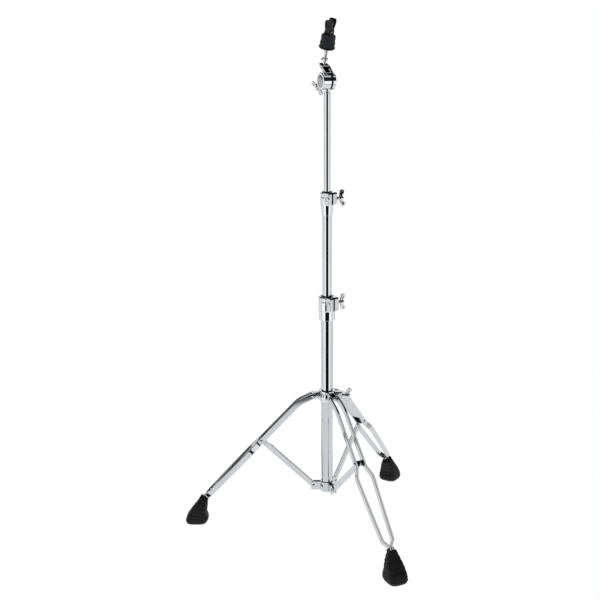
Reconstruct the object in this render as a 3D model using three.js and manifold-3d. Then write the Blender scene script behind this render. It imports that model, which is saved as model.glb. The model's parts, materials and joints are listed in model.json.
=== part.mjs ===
// Straight double-braced cymbal stand, in millimetres, +Z up, standing on its three feet.
// The left leg points along -X and the origin is under the middle of the footprint.

import * as THREE from 'three';
import { mergeVertices } from 'three/addons/utils/BufferGeometryUtils.js';
import Module from 'manifold-3d';

const wasm = await Module();
wasm.setup();

// Clearances: between pieces that meet, and how far a cutter passes the face that it cuts

const gap = 0.3;
const overrun = 4;

// Folding tripod: two equal arms, from collar to mid pivot and from mid pivot to bracket

const armLength = 178;
const armAngle = 47.3;
const hingeRadius = 34;
const bracketHeight = 105.6;
const legCount = 3;
const legNames = ['left', 'front', 'back'];
const legSlope = 47.3;
const shoulderSlope = 26;
const shoulderBend = 14;

const bar = {
  width: 13.5, thickness: 5, edge: 1.2,
  topSpread: 10, middleSpread: 11.4, wideSpread: 21.5, lowSpread: 13.8,
  jogStart: 10, jogLength: 27, jogBend: 16, closeLength: 14, closeBend: 4, endLength: 13,
};
const pin = { radius: 2.6, headRadius: 4.2, crownRadius: 2.7, headHeight: 2.1 };
const stay = {
  width: 13.4, thickness: 7, wall: 1.5, web: 2.4, edge: 0.7,
  tongue: 3.2, tongueLength: 13, channelInset: 13,
};
const spacerRadius = 6.8;
const clip = { wall: 1.4, length: 6, step: 1.5 };
const foot = {
  length: 58, height: 72, width: 51, topDrop: 7.8, topDepth: 23, topWidth: 22, topOffset: 9.3,
  ribs: 4, plainRings: 3, ribDepth: 0.8,
};

// Tubes, from the base up

const baseTube = { radius: 14.3, wall: 1.6, length: 470, overhang: 11 };
const middleTube = { radius: 11.1, wall: 1.5, shown: 198, inserted: 250 };
const topTube = { radius: 7.95, wall: 1.2, shown: 227.8, inserted: 264 };
const plug = { length: 16, rimHeight: 2 };

// Lower bracket and sliding collar on the base tube

const bracket = {
  wall: 2.6, height: 25, earWall: 2.3, earReach: 6.6, earHeight: 21, earCorner: 5, earFoot: 1.5,
};
const bracketScrew = { radius: 2.4, headRadius: 4.6, headHeight: 2.6, azimuth: 219 };
const collar = {
  wall: 4.4, height: 28, lip: 1.2, lipHeight: 3.5, lugRadius: 6.9, lugRoot: 20,
  bossReach: 37, bossWidth: 17, bossHeight: 21, bossCorner: 3,
};

// Clamp castings: one on the base tube and a smaller one on the middle tube

const clampWall = { lower: 4.3, upper: 2.9 };
const clampSleeve = { lower: 22, upper: 24 };
const clampHead = { lower: 37, upper: 32 };
const clampSleeveTaper = { lower: 0, upper: 2 };
const clampLug = { halfWidth: 14.2, end: 9.2, corner: 3.4, slot: 2.8, boltGap: 2.2, azimuth: -47.4 };
const clampWingSpin = { lower: 0, upper: -8 };
const clampRing = {
  flange: 1.5, waist: 1.4, waistHeight: 9, flangeHeight: 5.5, shoulder: 2.4, crown: 2.4,
};
const clampBoss = { radius: 6.6, height: 1.4, recess: 5, boltDrop: 16 };
const clampNut = { radius: 4.9, height: 4.2 };
const bushing = { wall: 2.6, flange: 0.6, flangeHeight: 0.7, split: 1.6 };

// Wing bolts, all alike but for the length of the shank

const wingBolt = {
  shankRadius: 3, collarRadius: 5.2, collarHeight: 1.8, stem: 7.4, stemRadius: 3.3,
  hubRadius: 6.1, hubTip: 4.4, hubLength: 12.5, span: 20, lobeWidth: 13, lobeRoot: 9,
  rootThickness: 6, tipThickness: 2.6, lobeEdge: 0.7, sweep: 4.5,
};

// Tilter: a barrel on the top tube, and an arm that turns on it and carries the rod

const tilter = {
  azimuth: 27.6, rise: 29, radius: 20, left: 17.5, grooveStart: 2.4, groove: 4.5, right: 15,
  edge: 1.8, ringRadius: 8.7, ringHeight: 4, neckRadius: 6.8, spigot: 20, plateRadius: 14.8,
  plateDepth: 1.6, plateDome: 0.7, spindleRadius: 11.5, spindleLength: 14, washerRadius: 17.4,
};
const pivotBolt = { radius: 3.8, headRadius: 7, headHeight: 3.6, corner: 1 };
const brake = { angle: 25, offset: 6.3, bossRadius: 7, bossReach: 27, spin: -30 };
const rodTilt = 20;
const arm = {
  halfDepth: 9, rodOffset: 14.2, height: 41.6, bossHalf: 9, shoulderIn: 3, rootHeight: 15,
  corner: 2.5, edge: 1.2, recess: 1.4, recessInset: 3.6, clearance: 0.6,
};

// Rod and what is stacked on it, measured along the rod from the tilt axis

const rod = { radius: 4, length: 122, socket: 18, tipEdge: 1 };
const stopCollar = { radius: 6.2, height: 6, rise: 9, screwRadius: 2.1, screwReach: 4.2 };
const seat = {
  height: 80, radius: 18.6, thickness: 3.8, dish: 1.4, sleeveWall: 1.9, sleeveLength: 25,
  hubRadius: 8.5, hubHeight: 3,
};
const felt = { lowerRadius: 17.2, upperRadius: 16.4, thickness: 13.3, edge: 2.2 };
const nut = {
  flangeRadius: 11.6, flangeHeight: 3.4, coreRadius: 6.4, height: 33, azimuth: -137.5,
  cheekReach: 11.8, cheekWall: 1.8, cheekHeight: 8.4, hingeHeight: 7, pinRadius: 1.3,
};
const paddle = {
  offset: 9.5, thickness: 4.2, width: 17.6, rootWidth: 11.4, length: 28, knuckleRadius: 2.6,
  dishRadius: 5.2, dishDepth: 1.3, edge: 0.9,
};

// Round sections: how many flats stand for a circle

const sides = { tube: 20, ring: 20, medium: 16, small: 10, pin: 8, foot: 14 };

// Materials

const finish = (color, roughness, metalness) =>
  new THREE.MeshStandardMaterial({ color, roughness, metalness });
const chrome = () => finish(0xd6d9da, 0.08, 1);
const nylon = () => finish(0x17181a, 0.42, 0);
const rubber = () => finish(0x1b1b1c, 0.75, 0);
const feltCloth = () => finish(0x2a2a2c, 0.98, 0);

// Solid helpers

const radians = THREE.MathUtils.degToRad;

function toSolid(geometry) {
  const bare = geometry.clone();
  bare.deleteAttribute('normal');
  bare.deleteAttribute('uv');
  const merged = mergeVertices(bare);
  const vertProperties = new Float32Array(merged.attributes.position.array);
  const triVerts = new Uint32Array(merged.index.array);
  return new wasm.Manifold(new wasm.Mesh({ numProp: 3, vertProperties, triVerts }));
}

function toGeometry(solid) {
  const mesh = solid.getMesh();
  const geometry = new THREE.BufferGeometry();
  geometry.setAttribute('position', new THREE.BufferAttribute(mesh.vertProperties, 3));
  geometry.setIndex(new THREE.BufferAttribute(mesh.triVerts, 1));
  geometry.computeVertexNormals();
  return geometry;
}

function join(...geometries) {
  return toGeometry(geometries.map(toSolid).reduce((sum, solid) => sum.add(solid)));
}

function cut(geometry, ...cutters) {
  return toGeometry(cutters.map(toSolid).reduce((rest, solid) => rest.subtract(solid), toSolid(geometry)));
}

// A revolve about Z of points given as [radius, height]
function revolve(points, flats) {
  const profile = points.map(([radius, height]) => new THREE.Vector2(radius, height));
  return new THREE.LatheGeometry(profile, flats).rotateX(Math.PI / 2);
}

// A round rod along Z from one height to another
function rodAlongZ(radius, from, to, flats) {
  return revolve([[0, from], [radius, from], [radius, to], [0, to]], flats);
}

// A hollow round along Z
function pipe(outer, inner, from, to, flats) {
  return revolve([[inner, from], [outer, from], [outer, to], [inner, to], [inner, from]], flats);
}

// A Z shape turned to lie along X, or along Y
const alongX = (geometry) => geometry.rotateY(Math.PI / 2);
const alongY = (geometry) => geometry.rotateX(-Math.PI / 2);

// An outline drawn in X and Z, given a depth along Y about the middle, with bevelled edges
function plate(shape, depth, edge, curveSegments) {
  const geometry = new THREE.ExtrudeGeometry(shape, {
    depth: depth - 2 * edge,
    bevelEnabled: edge > 0,
    bevelSize: edge,
    bevelThickness: edge,
    bevelOffset: -edge,
    bevelSegments: 1,
    curveSegments,
  });
  return geometry.translate(0, 0, edge - depth / 2).rotateX(Math.PI / 2);
}

// A rectangle with round corners as a shape, from its low corner to its high corner
function roundedRectangle(x0, y0, x1, y1, corner) {
  const shape = new THREE.Shape();
  shape.moveTo(x0 + corner, y0);
  shape.lineTo(x1 - corner, y0);
  shape.absarc(x1 - corner, y0 + corner, corner, -Math.PI / 2, 0);
  shape.lineTo(x1, y1 - corner);
  shape.absarc(x1 - corner, y1 - corner, corner, 0, Math.PI / 2);
  shape.lineTo(x0 + corner, y1);
  shape.absarc(x0 + corner, y1 - corner, corner, Math.PI / 2, Math.PI);
  shape.lineTo(x0, y0 + corner);
  shape.absarc(x0 + corner, y0 + corner, corner, Math.PI, 1.5 * Math.PI);
  return shape;
}

function polygon(points) {
  return new THREE.Shape(points.map(([x, y]) => new THREE.Vector2(x, y)));
}

// A rectangle about the middle with its corners taken off
function chamferedRectangle(halfWidth, halfHeight, corner) {
  const x = halfWidth - corner;
  const y = halfHeight - corner;
  return polygon([
    [x, -halfHeight], [halfWidth, -y], [halfWidth, y], [x, halfHeight],
    [-x, halfHeight], [-halfWidth, y], [-halfWidth, -y], [-x, -halfHeight],
  ]);
}

// A loft: a unit cylinder whose rings are placed one by one
function loft(flats, rings, place) {
  const geometry = new THREE.CylinderGeometry(1, 1, 1, flats, rings);
  const position = geometry.attributes.position;
  const point = new THREE.Vector3();
  for (let i = 0; i < position.count; i += 1) {
    point.fromBufferAttribute(position, i);
    const share = 0.5 - point.y;
    position.setXYZ(i, ...place(share, point.x, point.z).toArray());
  }
  return geometry;
}

// A path whose stations are placed only where it starts, bends and ends
class Route extends THREE.Curve {
  constructor(corners, bends, bendSteps) {
    super();
    this.stations = [];
    corners.forEach((corner, i) => {
      const before = corners[i - 1];
      const after = corners[i + 1];
      if (!before || !after) {
        const direction = before ? corner.clone().sub(before) : after.clone().sub(corner);
        this.stations.push({ point: corner, tangent: direction.normalize() });
        return;
      }
      const start = corner.clone().lerp(before, bends[i - 1] / corner.distanceTo(before));
      const end = corner.clone().lerp(after, bends[i - 1] / corner.distanceTo(after));
      const bend = new THREE.QuadraticBezierCurve3(start, corner, end);
      const steps = bendSteps[i - 1];
      for (let step = 0; step <= steps; step += 1) {
        const share = step / steps;
        this.stations.push({ point: bend.getPoint(share), tangent: bend.getTangent(share) });
      }
    });
  }

  station(share) {
    return this.stations[Math.round(share * (this.stations.length - 1))];
  }

  getPointAt(share, target = new THREE.Vector3()) {
    return target.copy(this.station(share).point);
  }

  getTangentAt(share, target = new THREE.Vector3()) {
    return target.copy(this.station(share).tangent);
  }
}

const stand = new THREE.Group();

function mesh(name, geometry, material, parent = stand) {
  const piece = new THREE.Mesh(geometry, material);
  piece.name = name;
  parent.add(piece);
  return piece;
}

// Heights of the tripod's pivots and the line of a leg in its own plane

const armRise = armLength * Math.cos(radians(armAngle));
const armReach = armLength * Math.sin(radians(armAngle));
const collarHeight = bracketHeight + 2 * armRise;
const pivotRadius = hingeRadius + armReach;
const pivotHeight = bracketHeight + armRise;
const legDown = new THREE.Vector3(Math.cos(radians(legSlope)), 0, -Math.sin(radians(legSlope)));

function onLeg(distance, spread = 0) {
  const point = new THREE.Vector3(pivotRadius, spread, pivotHeight);
  return point.addScaledVector(legDown, distance);
}

// The shoulder is where the gentler top run meets the leg's main line
function shoulderPoint(spread) {
  const topRun = Math.tan(radians(shoulderSlope));
  const mainRun = Math.tan(radians(legSlope));
  const reach = (pivotHeight + mainRun * pivotRadius - collarHeight - topRun * hingeRadius)
    / (mainRun - topRun);
  return new THREE.Vector3(reach, spread, collarHeight - topRun * (reach - hingeRadius));
}

const footDistance = (pivotHeight - foot.height + foot.topDrop) / Math.sin(radians(legSlope));
const clipDistance = footDistance - clip.length - clip.step;
const shutSpread = bar.thickness / 2 + gap / 2;

// One of a leg's two flat bars, with a round end at the collar
function legBar(side) {
  const shoulderSpread = (bar.topSpread + bar.middleSpread) / 2;
  const { closeBend } = bar;
  const shutAt = clipDistance - closeBend;
  const corners = [
    new THREE.Vector3(hingeRadius, side * bar.topSpread, collarHeight),
    shoulderPoint(side * shoulderSpread),
    onLeg(bar.jogStart, side * bar.middleSpread),
    onLeg(bar.jogStart + bar.jogLength, side * bar.wideSpread),
    onLeg(shutAt - bar.closeLength, side * bar.lowSpread),
    onLeg(shutAt, side * shutSpread),
    onLeg(footDistance + bar.endLength, side * shutSpread),
  ];
  const bends = [shoulderBend, bar.jogStart / 2, bar.jogBend / 2, closeBend, closeBend];
  const section = chamferedRectangle(bar.thickness / 2, bar.width / 2, bar.edge);
  const route = new Route(corners, bends, [3, 1, 1, 1, 1]);
  const body = new THREE.ExtrudeGeometry(section, {
    steps: route.stations.length - 1, extrudePath: route,
  });
  const eyeRadius = (bar.width - bar.edge) / 2;
  const eyeHalf = (bar.thickness - bar.edge) / 2;
  const hinge = alongY(rodAlongZ(eyeRadius, -eyeHalf, eyeHalf, sides.medium));
  hinge.translate(hingeRadius, side * bar.topSpread, collarHeight);
  const hole = () => alongY(rodAlongZ(pin.radius + gap, -bar.width, bar.width, sides.small));
  return cut(
    join(body, hinge),
    hole().translate(hingeRadius, side * bar.topSpread, collarHeight),
    hole().translate(pivotRadius, side * bar.middleSpread, pivotHeight),
  );
}

// A rivet pin along Y with a head at each end, outside the faces that it holds
function rivet(reach) {
  const seatAt = reach + gap;
  const outer = seatAt + pin.headHeight;
  return alongY(revolve([
    [0, -outer], [pin.crownRadius, -outer], [pin.headRadius, -seatAt], [pin.radius, -seatAt],
    [pin.radius, seatAt], [pin.headRadius, seatAt], [pin.crownRadius, outer], [0, outer],
  ], sides.pin));
}

// A stay: a channel open towards the tube, drawn along +X from its lower pin, with a flat tongue
function stayChannel() {
  const radius = stay.width / 2;
  const outline = new THREE.Shape();
  outline.absarc(0, 0, radius, Math.PI / 2, 1.5 * Math.PI);
  outline.lineTo(armLength, -radius);
  outline.absarc(armLength, 0, radius, -Math.PI / 2, Math.PI / 2);
  outline.lineTo(0, radius);
  const body = plate(outline, stay.thickness, stay.edge, 2);
  const channelEnd = armLength - stay.tongueLength - stay.channelInset;
  const channelWidth = stay.thickness - 2 * stay.wall;
  const channel = new THREE.BoxGeometry(channelEnd - stay.channelInset, channelWidth, stay.width);
  channel.translate((stay.channelInset + channelEnd) / 2, 0, stay.web);
  const side = (stay.thickness - stay.tongue) / 2;
  const relief = (sign) => new THREE.BoxGeometry(2 * stay.tongueLength, side + overrun, 2 * stay.width)
    .translate(armLength, sign * (stay.tongue + side + overrun) / 2, 0);
  const hole = () => alongY(rodAlongZ(pin.radius + gap, -stay.width, stay.width, sides.small));
  return cut(body, channel, relief(1), relief(-1), hole(), hole().translate(armLength, 0, 0));
}

// Rubber foot: a top face square to the leg, then sections down to the sole, whose
// heel and toe are shares of the foot's length and height and whose width is a share of its own
const footShares = [
  { heel: [0.03, 0.6], toe: [0.48, 0.77], width: 0.68 },
  { heel: [0.07, 0.37], toe: [0.73, 0.51], width: 0.88 },
  { heel: [0, 0.19], toe: [0.93, 0.27], width: 0.98 },
  { heel: [0.01, 0.09], toe: [1, 0.1], width: 1 },
  { heel: [0.09, 0], toe: [0.96, 0], width: 0.9 },
];

const innerReach = onLeg(footDistance).x - foot.topOffset;

function footStations() {
  const top = onLeg(footDistance);
  const across = new THREE.Vector2(-legDown.z, legDown.x).multiplyScalar(foot.topDepth / 2);
  const middle = new THREE.Vector2(top.x, top.z);
  const stations = [{
    heel: middle.clone().sub(across), toe: middle.clone().add(across), width: foot.topWidth,
  }];
  const place = ([x, z]) => new THREE.Vector2(innerReach + x * foot.length, z * foot.height);
  footShares.forEach(({ heel, toe, width }) => {
    stations.push({ heel: place(heel), toe: place(toe), width: width * foot.width });
  });
  return stations;
}

function rubberFoot() {
  const stations = footStations();
  const spans = stations.length - 1;
  const ribRings = 2 * foot.ribs;
  const rings = ribRings + foot.plainRings;
  return loft(sides.foot, rings, (share, u, v) => {
    const ring = Math.round(share * rings);
    const inGroove = ring > 0 && ring <= ribRings && ring % 2 === 0;
    const shrink = inGroove ? foot.ribDepth : 0;
    const index = Math.min(Math.floor(share * spans), spans - 1);
    const part = share * spans - index;
    const above = stations[index];
    const below = stations[index + 1];
    const heel = above.heel.clone().lerp(below.heel, part);
    const toe = above.toe.clone().lerp(below.toe, part);
    const centre = heel.clone().lerp(toe, 0.5);
    const along = toe.sub(heel).divideScalar(2);
    along.setLength(along.length() - shrink);
    const across = THREE.MathUtils.lerp(above.width, below.width, part) / 2 - shrink;
    return new THREE.Vector3(centre.x + along.x * v, across * u, centre.y + along.y * v);
  });
}

// A leg piece's local frame has X outwards and Y across, and is turned about the tube
function legFrame(index) {
  const frame = new THREE.Group();
  frame.rotation.z = Math.PI + (index * 2 * Math.PI) / legCount;
  stand.add(frame);
  return frame;
}

function alongLeg(geometry, distance) {
  return geometry.rotateY(radians(legSlope)).translate(...onLeg(distance).toArray());
}

// A clip with a cheek on the outer face of each bar and a web under their lower edges
function neckClip() {
  const inner = bar.thickness + gap / 2 + gap;
  const outer = inner + clip.wall;
  const high = -bar.width / 2;
  const low = bar.width / 2 + gap;
  const outline = polygon([
    [high, -outer], [low + clip.wall, -outer], [low + clip.wall, outer], [high, outer],
    [high, inner], [low, inner], [low, -inner], [high, -inner],
  ]);
  return alongX(new THREE.ExtrudeGeometry(outline, { depth: clip.length, bevelEnabled: false }));
}

function footPocket() {
  const half = bar.width / 2 + gap;
  const across = bar.thickness + 1.5 * gap;
  const depth = bar.endLength + gap + overrun;
  return new THREE.BoxGeometry(depth, 2 * across, 2 * half)
    .translate(depth / 2 - overrun, 0, 0);
}

for (let index = 0; index < legCount; index += 1) {
  const name = legNames[index];
  const frame = legFrame(index);
  mesh(`leg_bar_${name}_a`, legBar(1), chrome(), frame);
  mesh(`leg_bar_${name}_b`, legBar(-1), chrome(), frame);
  const stayMesh = mesh(`stay_${name}`, stayChannel(), chrome(), frame);
  stayMesh.position.set(hingeRadius, 0, bracketHeight);
  stayMesh.rotation.y = radians(armAngle) - Math.PI / 2;
  const topPin = mesh(`top_pin_${name}`, rivet(bar.topSpread + bar.thickness / 2), chrome(), frame);
  topPin.position.set(hingeRadius, 0, collarHeight);
  const midPin = mesh(`mid_pin_${name}`, rivet(bar.middleSpread + bar.thickness / 2), chrome(), frame);
  midPin.position.set(pivotRadius, 0, pivotHeight);
  const lowPin = mesh(
    `low_pin_${name}`, rivet(stay.thickness / 2 + gap + bracket.earWall), chrome(), frame,
  );
  lowPin.position.set(hingeRadius, 0, bracketHeight);
  const spacerFrom = stay.tongue / 2 + gap;
  const spacerTo = bar.middleSpread - bar.thickness / 2 - gap;
  ['a', 'b'].forEach((letter, k) => {
    const from = k === 0 ? spacerFrom : -spacerTo;
    const to = k === 0 ? spacerTo : -spacerFrom;
    const spacer = alongY(pipe(spacerRadius, pin.radius + gap, from, to, sides.small));
    const piece = mesh(`spacer_${name}_${letter}`, spacer, nylon(), frame);
    piece.position.set(pivotRadius, 0, pivotHeight);
  });
  mesh(`neck_${name}`, alongLeg(neckClip(), clipDistance), rubber(), frame);
  const footBody = cut(rubberFoot(), alongLeg(footPocket(), footDistance));
  mesh(`foot_${name}`, footBody, rubber(), frame);
}

// Lower bracket: a band round the base tube with three pairs of ears

const bracketBottom = bracketHeight - bracket.height / 2;
const baseBottom = bracketHeight - baseTube.overhang;
const baseTop = baseBottom + baseTube.length;

function ear(index, side) {
  const inner = baseTube.radius;
  const low = bracketHeight - bracket.earHeight / 2;
  const high = bracketHeight + bracket.earHeight / 2;
  const reach = hingeRadius + bracket.earReach;
  const shape = new THREE.Shape();
  shape.moveTo(inner, low);
  shape.lineTo(reach - bracket.earFoot, low);
  shape.lineTo(reach, low + bracket.earFoot);
  shape.lineTo(reach, high - bracket.earCorner);
  shape.absarc(reach - bracket.earCorner, high - bracket.earCorner, bracket.earCorner, 0, Math.PI / 2);
  shape.lineTo(inner, high);
  const offset = stay.thickness / 2 + gap + bracket.earWall / 2;
  const hole = alongY(rodAlongZ(pin.radius + gap, -bracket.earWall, bracket.earWall, sides.small));
  hole.translate(hingeRadius, 0, bracketHeight);
  const geometry = cut(plate(shape, bracket.earWall, 0, 2), hole);
  return geometry.translate(0, side * offset, 0).rotateZ(Math.PI + (index * 2 * Math.PI) / legCount);
}

function bracketBody() {
  const bore = baseTube.radius + gap;
  const ears = [];
  for (let index = 0; index < legCount; index += 1) {
    ears.push(ear(index, 1), ear(index, -1));
  }
  const band = rodAlongZ(bore + bracket.wall, bracketBottom, bracketBottom + bracket.height, sides.ring);
  const screwHole = alongX(rodAlongZ(bracketScrew.radius + gap, 0, bore + bracket.wall + overrun, sides.pin));
  screwHole.rotateZ(radians(bracketScrew.azimuth)).translate(0, 0, bracketHeight);
  const bracketTop = bracketBottom + bracket.height;
  const boreCut = rodAlongZ(bore, bracketBottom - overrun, bracketTop + overrun, sides.ring);
  return cut(join(band, ...ears), boreCut, screwHole);
}

mesh('lower_bracket', bracketBody(), chrome());

function screwBody() {
  const seatRadius = baseTube.radius + gap + bracket.wall + gap;
  const inner = baseTube.radius + gap;
  const top = seatRadius + bracketScrew.headHeight;
  const edge = bracketScrew.headHeight / 3;
  return alongX(revolve([
    [0, inner], [bracketScrew.radius, inner], [bracketScrew.radius, seatRadius],
    [bracketScrew.headRadius, seatRadius], [bracketScrew.headRadius, top - edge],
    [bracketScrew.headRadius - edge, top], [0, top],
  ], sides.pin));
}

const screwMesh = mesh('bracket_screw', screwBody(), chrome());
screwMesh.rotation.z = radians(bracketScrew.azimuth);
screwMesh.position.z = bracketHeight;

mesh('base_tube', pipe(
  baseTube.radius, baseTube.radius - baseTube.wall, baseBottom, baseTop, sides.tube,
), chrome());
const plugRadius = baseTube.radius - baseTube.wall - gap;
mesh('base_plug', revolve([
  [0, baseBottom - gap - plug.rimHeight],
  [baseTube.radius - plug.rimHeight, baseBottom - gap - plug.rimHeight],
  [baseTube.radius, baseBottom - gap],
  [plugRadius, baseBottom - gap], [plugRadius, baseBottom + plug.length], [0, baseBottom + plug.length],
], sides.tube), nylon());

// Sliding collar with a lug for each leg and a boss for its wing bolt

function collarBody() {
  const bore = baseTube.radius + gap;
  const outer = bore + collar.wall;
  const low = collarHeight - collar.height / 2;
  const high = collarHeight + collar.height / 2;
  const lip = outer + collar.lip;
  const ring = revolve([
    [0, low], [outer - collar.lip, low], [outer, low + collar.lip],
    [outer, high - collar.lipHeight - collar.lip],
    [lip, high - collar.lipHeight], [lip, high - collar.lip], [outer, high], [0, high],
  ], sides.ring);
  const lugDepth = 2 * (bar.topSpread - bar.thickness / 2 - gap);
  const lugs = [];
  for (let index = 0; index < legCount; index += 1) {
    const shape = new THREE.Shape();
    shape.moveTo(bore, collarHeight - collar.lugRoot / 2);
    shape.lineTo(outer, collarHeight - collar.lugRoot / 2);
    shape.lineTo(hingeRadius, collarHeight - collar.lugRadius);
    shape.absarc(hingeRadius, collarHeight, collar.lugRadius, -Math.PI / 2, Math.PI / 2);
    shape.lineTo(outer, collarHeight + collar.lugRoot / 2);
    shape.lineTo(bore, collarHeight + collar.lugRoot / 2);
    const lug = plate(shape, lugDepth, 0, 3);
    const hole = alongY(rodAlongZ(pin.radius + gap, -lugDepth, lugDepth, sides.small));
    const drilled = cut(lug, hole.translate(hingeRadius, 0, collarHeight));
    lugs.push(drilled.rotateZ(Math.PI + (index * 2 * Math.PI) / legCount));
  }
  const bossShape = roundedRectangle(
    -collar.bossWidth / 2, -collar.bossHeight / 2,
    collar.bossWidth / 2, collar.bossHeight / 2, collar.bossCorner,
  );
  const boss = new THREE.ExtrudeGeometry(bossShape, {
    depth: collar.bossReach - bore, bevelEnabled: false, curveSegments: 1,
  });
  boss.translate(0, 0, bore).rotateY(Math.PI / 2).rotateX(Math.PI / 2).translate(0, 0, collarHeight);
  const screwHole = alongX(rodAlongZ(wingBolt.shankRadius + gap, 0, collar.bossReach + overrun, sides.small));
  return cut(
    join(ring, ...lugs, boss),
    rodAlongZ(bore, low - overrun, high + overrun, sides.ring),
    screwHole.translate(0, 0, collarHeight),
  );
}

mesh('collar', collarBody(), chrome());

// Wing bolts: a plate in X and Z whose thickness changes evenly from its root up to its tip
function tapered(geometry, height, tipShare) {
  const position = geometry.attributes.position;
  for (let i = 0; i < position.count; i += 1) {
    const share = position.getZ(i) / height;
    position.setY(i, position.getY(i) * THREE.MathUtils.lerp(1, tipShare, share));
  }
  return geometry;
}

// A wing bolt along +X whose collar seats just off X = 0 and whose shank reaches back inside
function wingBoltBody(shank) {
  const { stem, hubLength, span, lobeWidth, lobeRoot, sweep } = wingBolt;
  const hubEnd = stem + hubLength;
  const spine = alongX(revolve([
    [0, -shank], [wingBolt.shankRadius, -shank], [wingBolt.shankRadius, gap],
    [wingBolt.collarRadius, gap], [wingBolt.collarRadius, wingBolt.collarHeight],
    [wingBolt.stemRadius, wingBolt.collarHeight], [wingBolt.stemRadius, stem],
    [wingBolt.hubRadius, stem + sweep / 2], [wingBolt.hubRadius, hubEnd - sweep],
    [wingBolt.hubTip, hubEnd], [0, hubEnd],
  ], sides.pin));
  const outline = new THREE.Shape();
  outline.moveTo(stem + sweep / 2, 0);
  outline.bezierCurveTo(
    stem + sweep / 2, lobeRoot, stem + sweep / 2, lobeRoot,
    stem + sweep, span - lobeWidth / 2,
  );
  outline.bezierCurveTo(
    stem + sweep, span + sweep / 2, stem + sweep + lobeWidth, span + sweep / 2,
    stem + sweep + lobeWidth, span - lobeWidth / 2,
  );
  outline.bezierCurveTo(stem + sweep + lobeWidth, lobeRoot, hubEnd - sweep, lobeRoot, hubEnd - sweep, 0);
  const { rootThickness, tipThickness, lobeEdge } = wingBolt;
  const lobe = tapered(plate(outline, rootThickness, lobeEdge, 3), span, tipThickness / rootThickness);
  return join(spine, lobe, lobe.clone().rotateX(Math.PI));
}

function placeWingBolt(name, shank, position, azimuth, spin, parent = stand) {
  const holder = new THREE.Group();
  holder.position.copy(position);
  holder.rotation.z = radians(azimuth);
  parent.add(holder);
  const bolt = mesh(name, wingBoltBody(shank), chrome(), holder);
  bolt.rotation.x = radians(spin);
  return bolt;
}

placeWingBolt(
  'collar_wing_bolt', collar.bossReach - baseTube.radius - 2 * gap,
  new THREE.Vector3(collar.bossReach, 0, collarHeight), 0, 8,
);

// Clamp casting: a sleeve over the lower tube and a split ring round the bushing, with a lug

function clampBody(which, outerTube, innerTube) {
  const bore = innerTube.radius + gap + bushing.wall + gap;
  const socket = outerTube.radius + gap;
  const sleeve = socket + clampWall[which];
  const depth = clampSleeve[which];
  const head = clampHead[which];
  const taper = clampSleeveTaper[which];
  const { flange, waist, waistHeight, flangeHeight, shoulder, crown } = clampRing;
  const rim = sleeve + flange;
  const ring = revolve([
    [0, -depth], [sleeve - taper, -depth], [sleeve, 0],
    [rim, shoulder], [rim, head - flangeHeight - waistHeight],
    [rim - waist, head - flangeHeight - waistHeight / 2],
    [rim, head - flangeHeight], [rim, head - crown], [rim - crown, head], [0, head],
  ], sides.ring);
  const lugEnd = sleeve + clampLug.end - taper;
  const boltReach = bore + clampLug.boltGap + wingBolt.shankRadius;
  const lugShape = roundedRectangle(-clampLug.halfWidth, 0, clampLug.halfWidth, lugEnd, clampLug.corner);
  const lug = new THREE.ExtrudeGeometry(lugShape, {
    depth: head - shoulder - 2 * flange,
    bevelEnabled: true, bevelSize: flange, bevelThickness: flange, bevelOffset: -flange,
    bevelSegments: 1, curveSegments: 1,
  });
  lug.translate(0, 0, shoulder + flange).rotateZ(-Math.PI / 2);
  const boltHeight = head - clampBoss.boltDrop;
  const bossAt = (geometry) => geometry.translate(boltReach, 0, boltHeight);
  const bossEnd = clampLug.halfWidth + clampBoss.height;
  const boss = bossAt(alongY(rodAlongZ(clampBoss.radius, -bossEnd, bossEnd, sides.small)));
  const boltHole = bossAt(alongY(
    rodAlongZ(wingBolt.shankRadius + gap, -2 * bossEnd, 2 * bossEnd, sides.small),
  ));
  const nutHole = bossAt(alongY(
    rodAlongZ(clampNut.radius + gap, -2 * bossEnd, clampBoss.recess - bossEnd, 6),
  ));
  const slot = new THREE.BoxGeometry(2 * lugEnd, clampLug.slot, head)
    .translate(lugEnd, 0, head / 2 + shoulder);
  return cut(
    join(ring, lug, boss),
    rodAlongZ(socket, -depth - overrun, gap, sides.ring),
    rodAlongZ(bore, 0, head + overrun, sides.ring),
    boltHole, nutHole, slot,
  );
}

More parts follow.
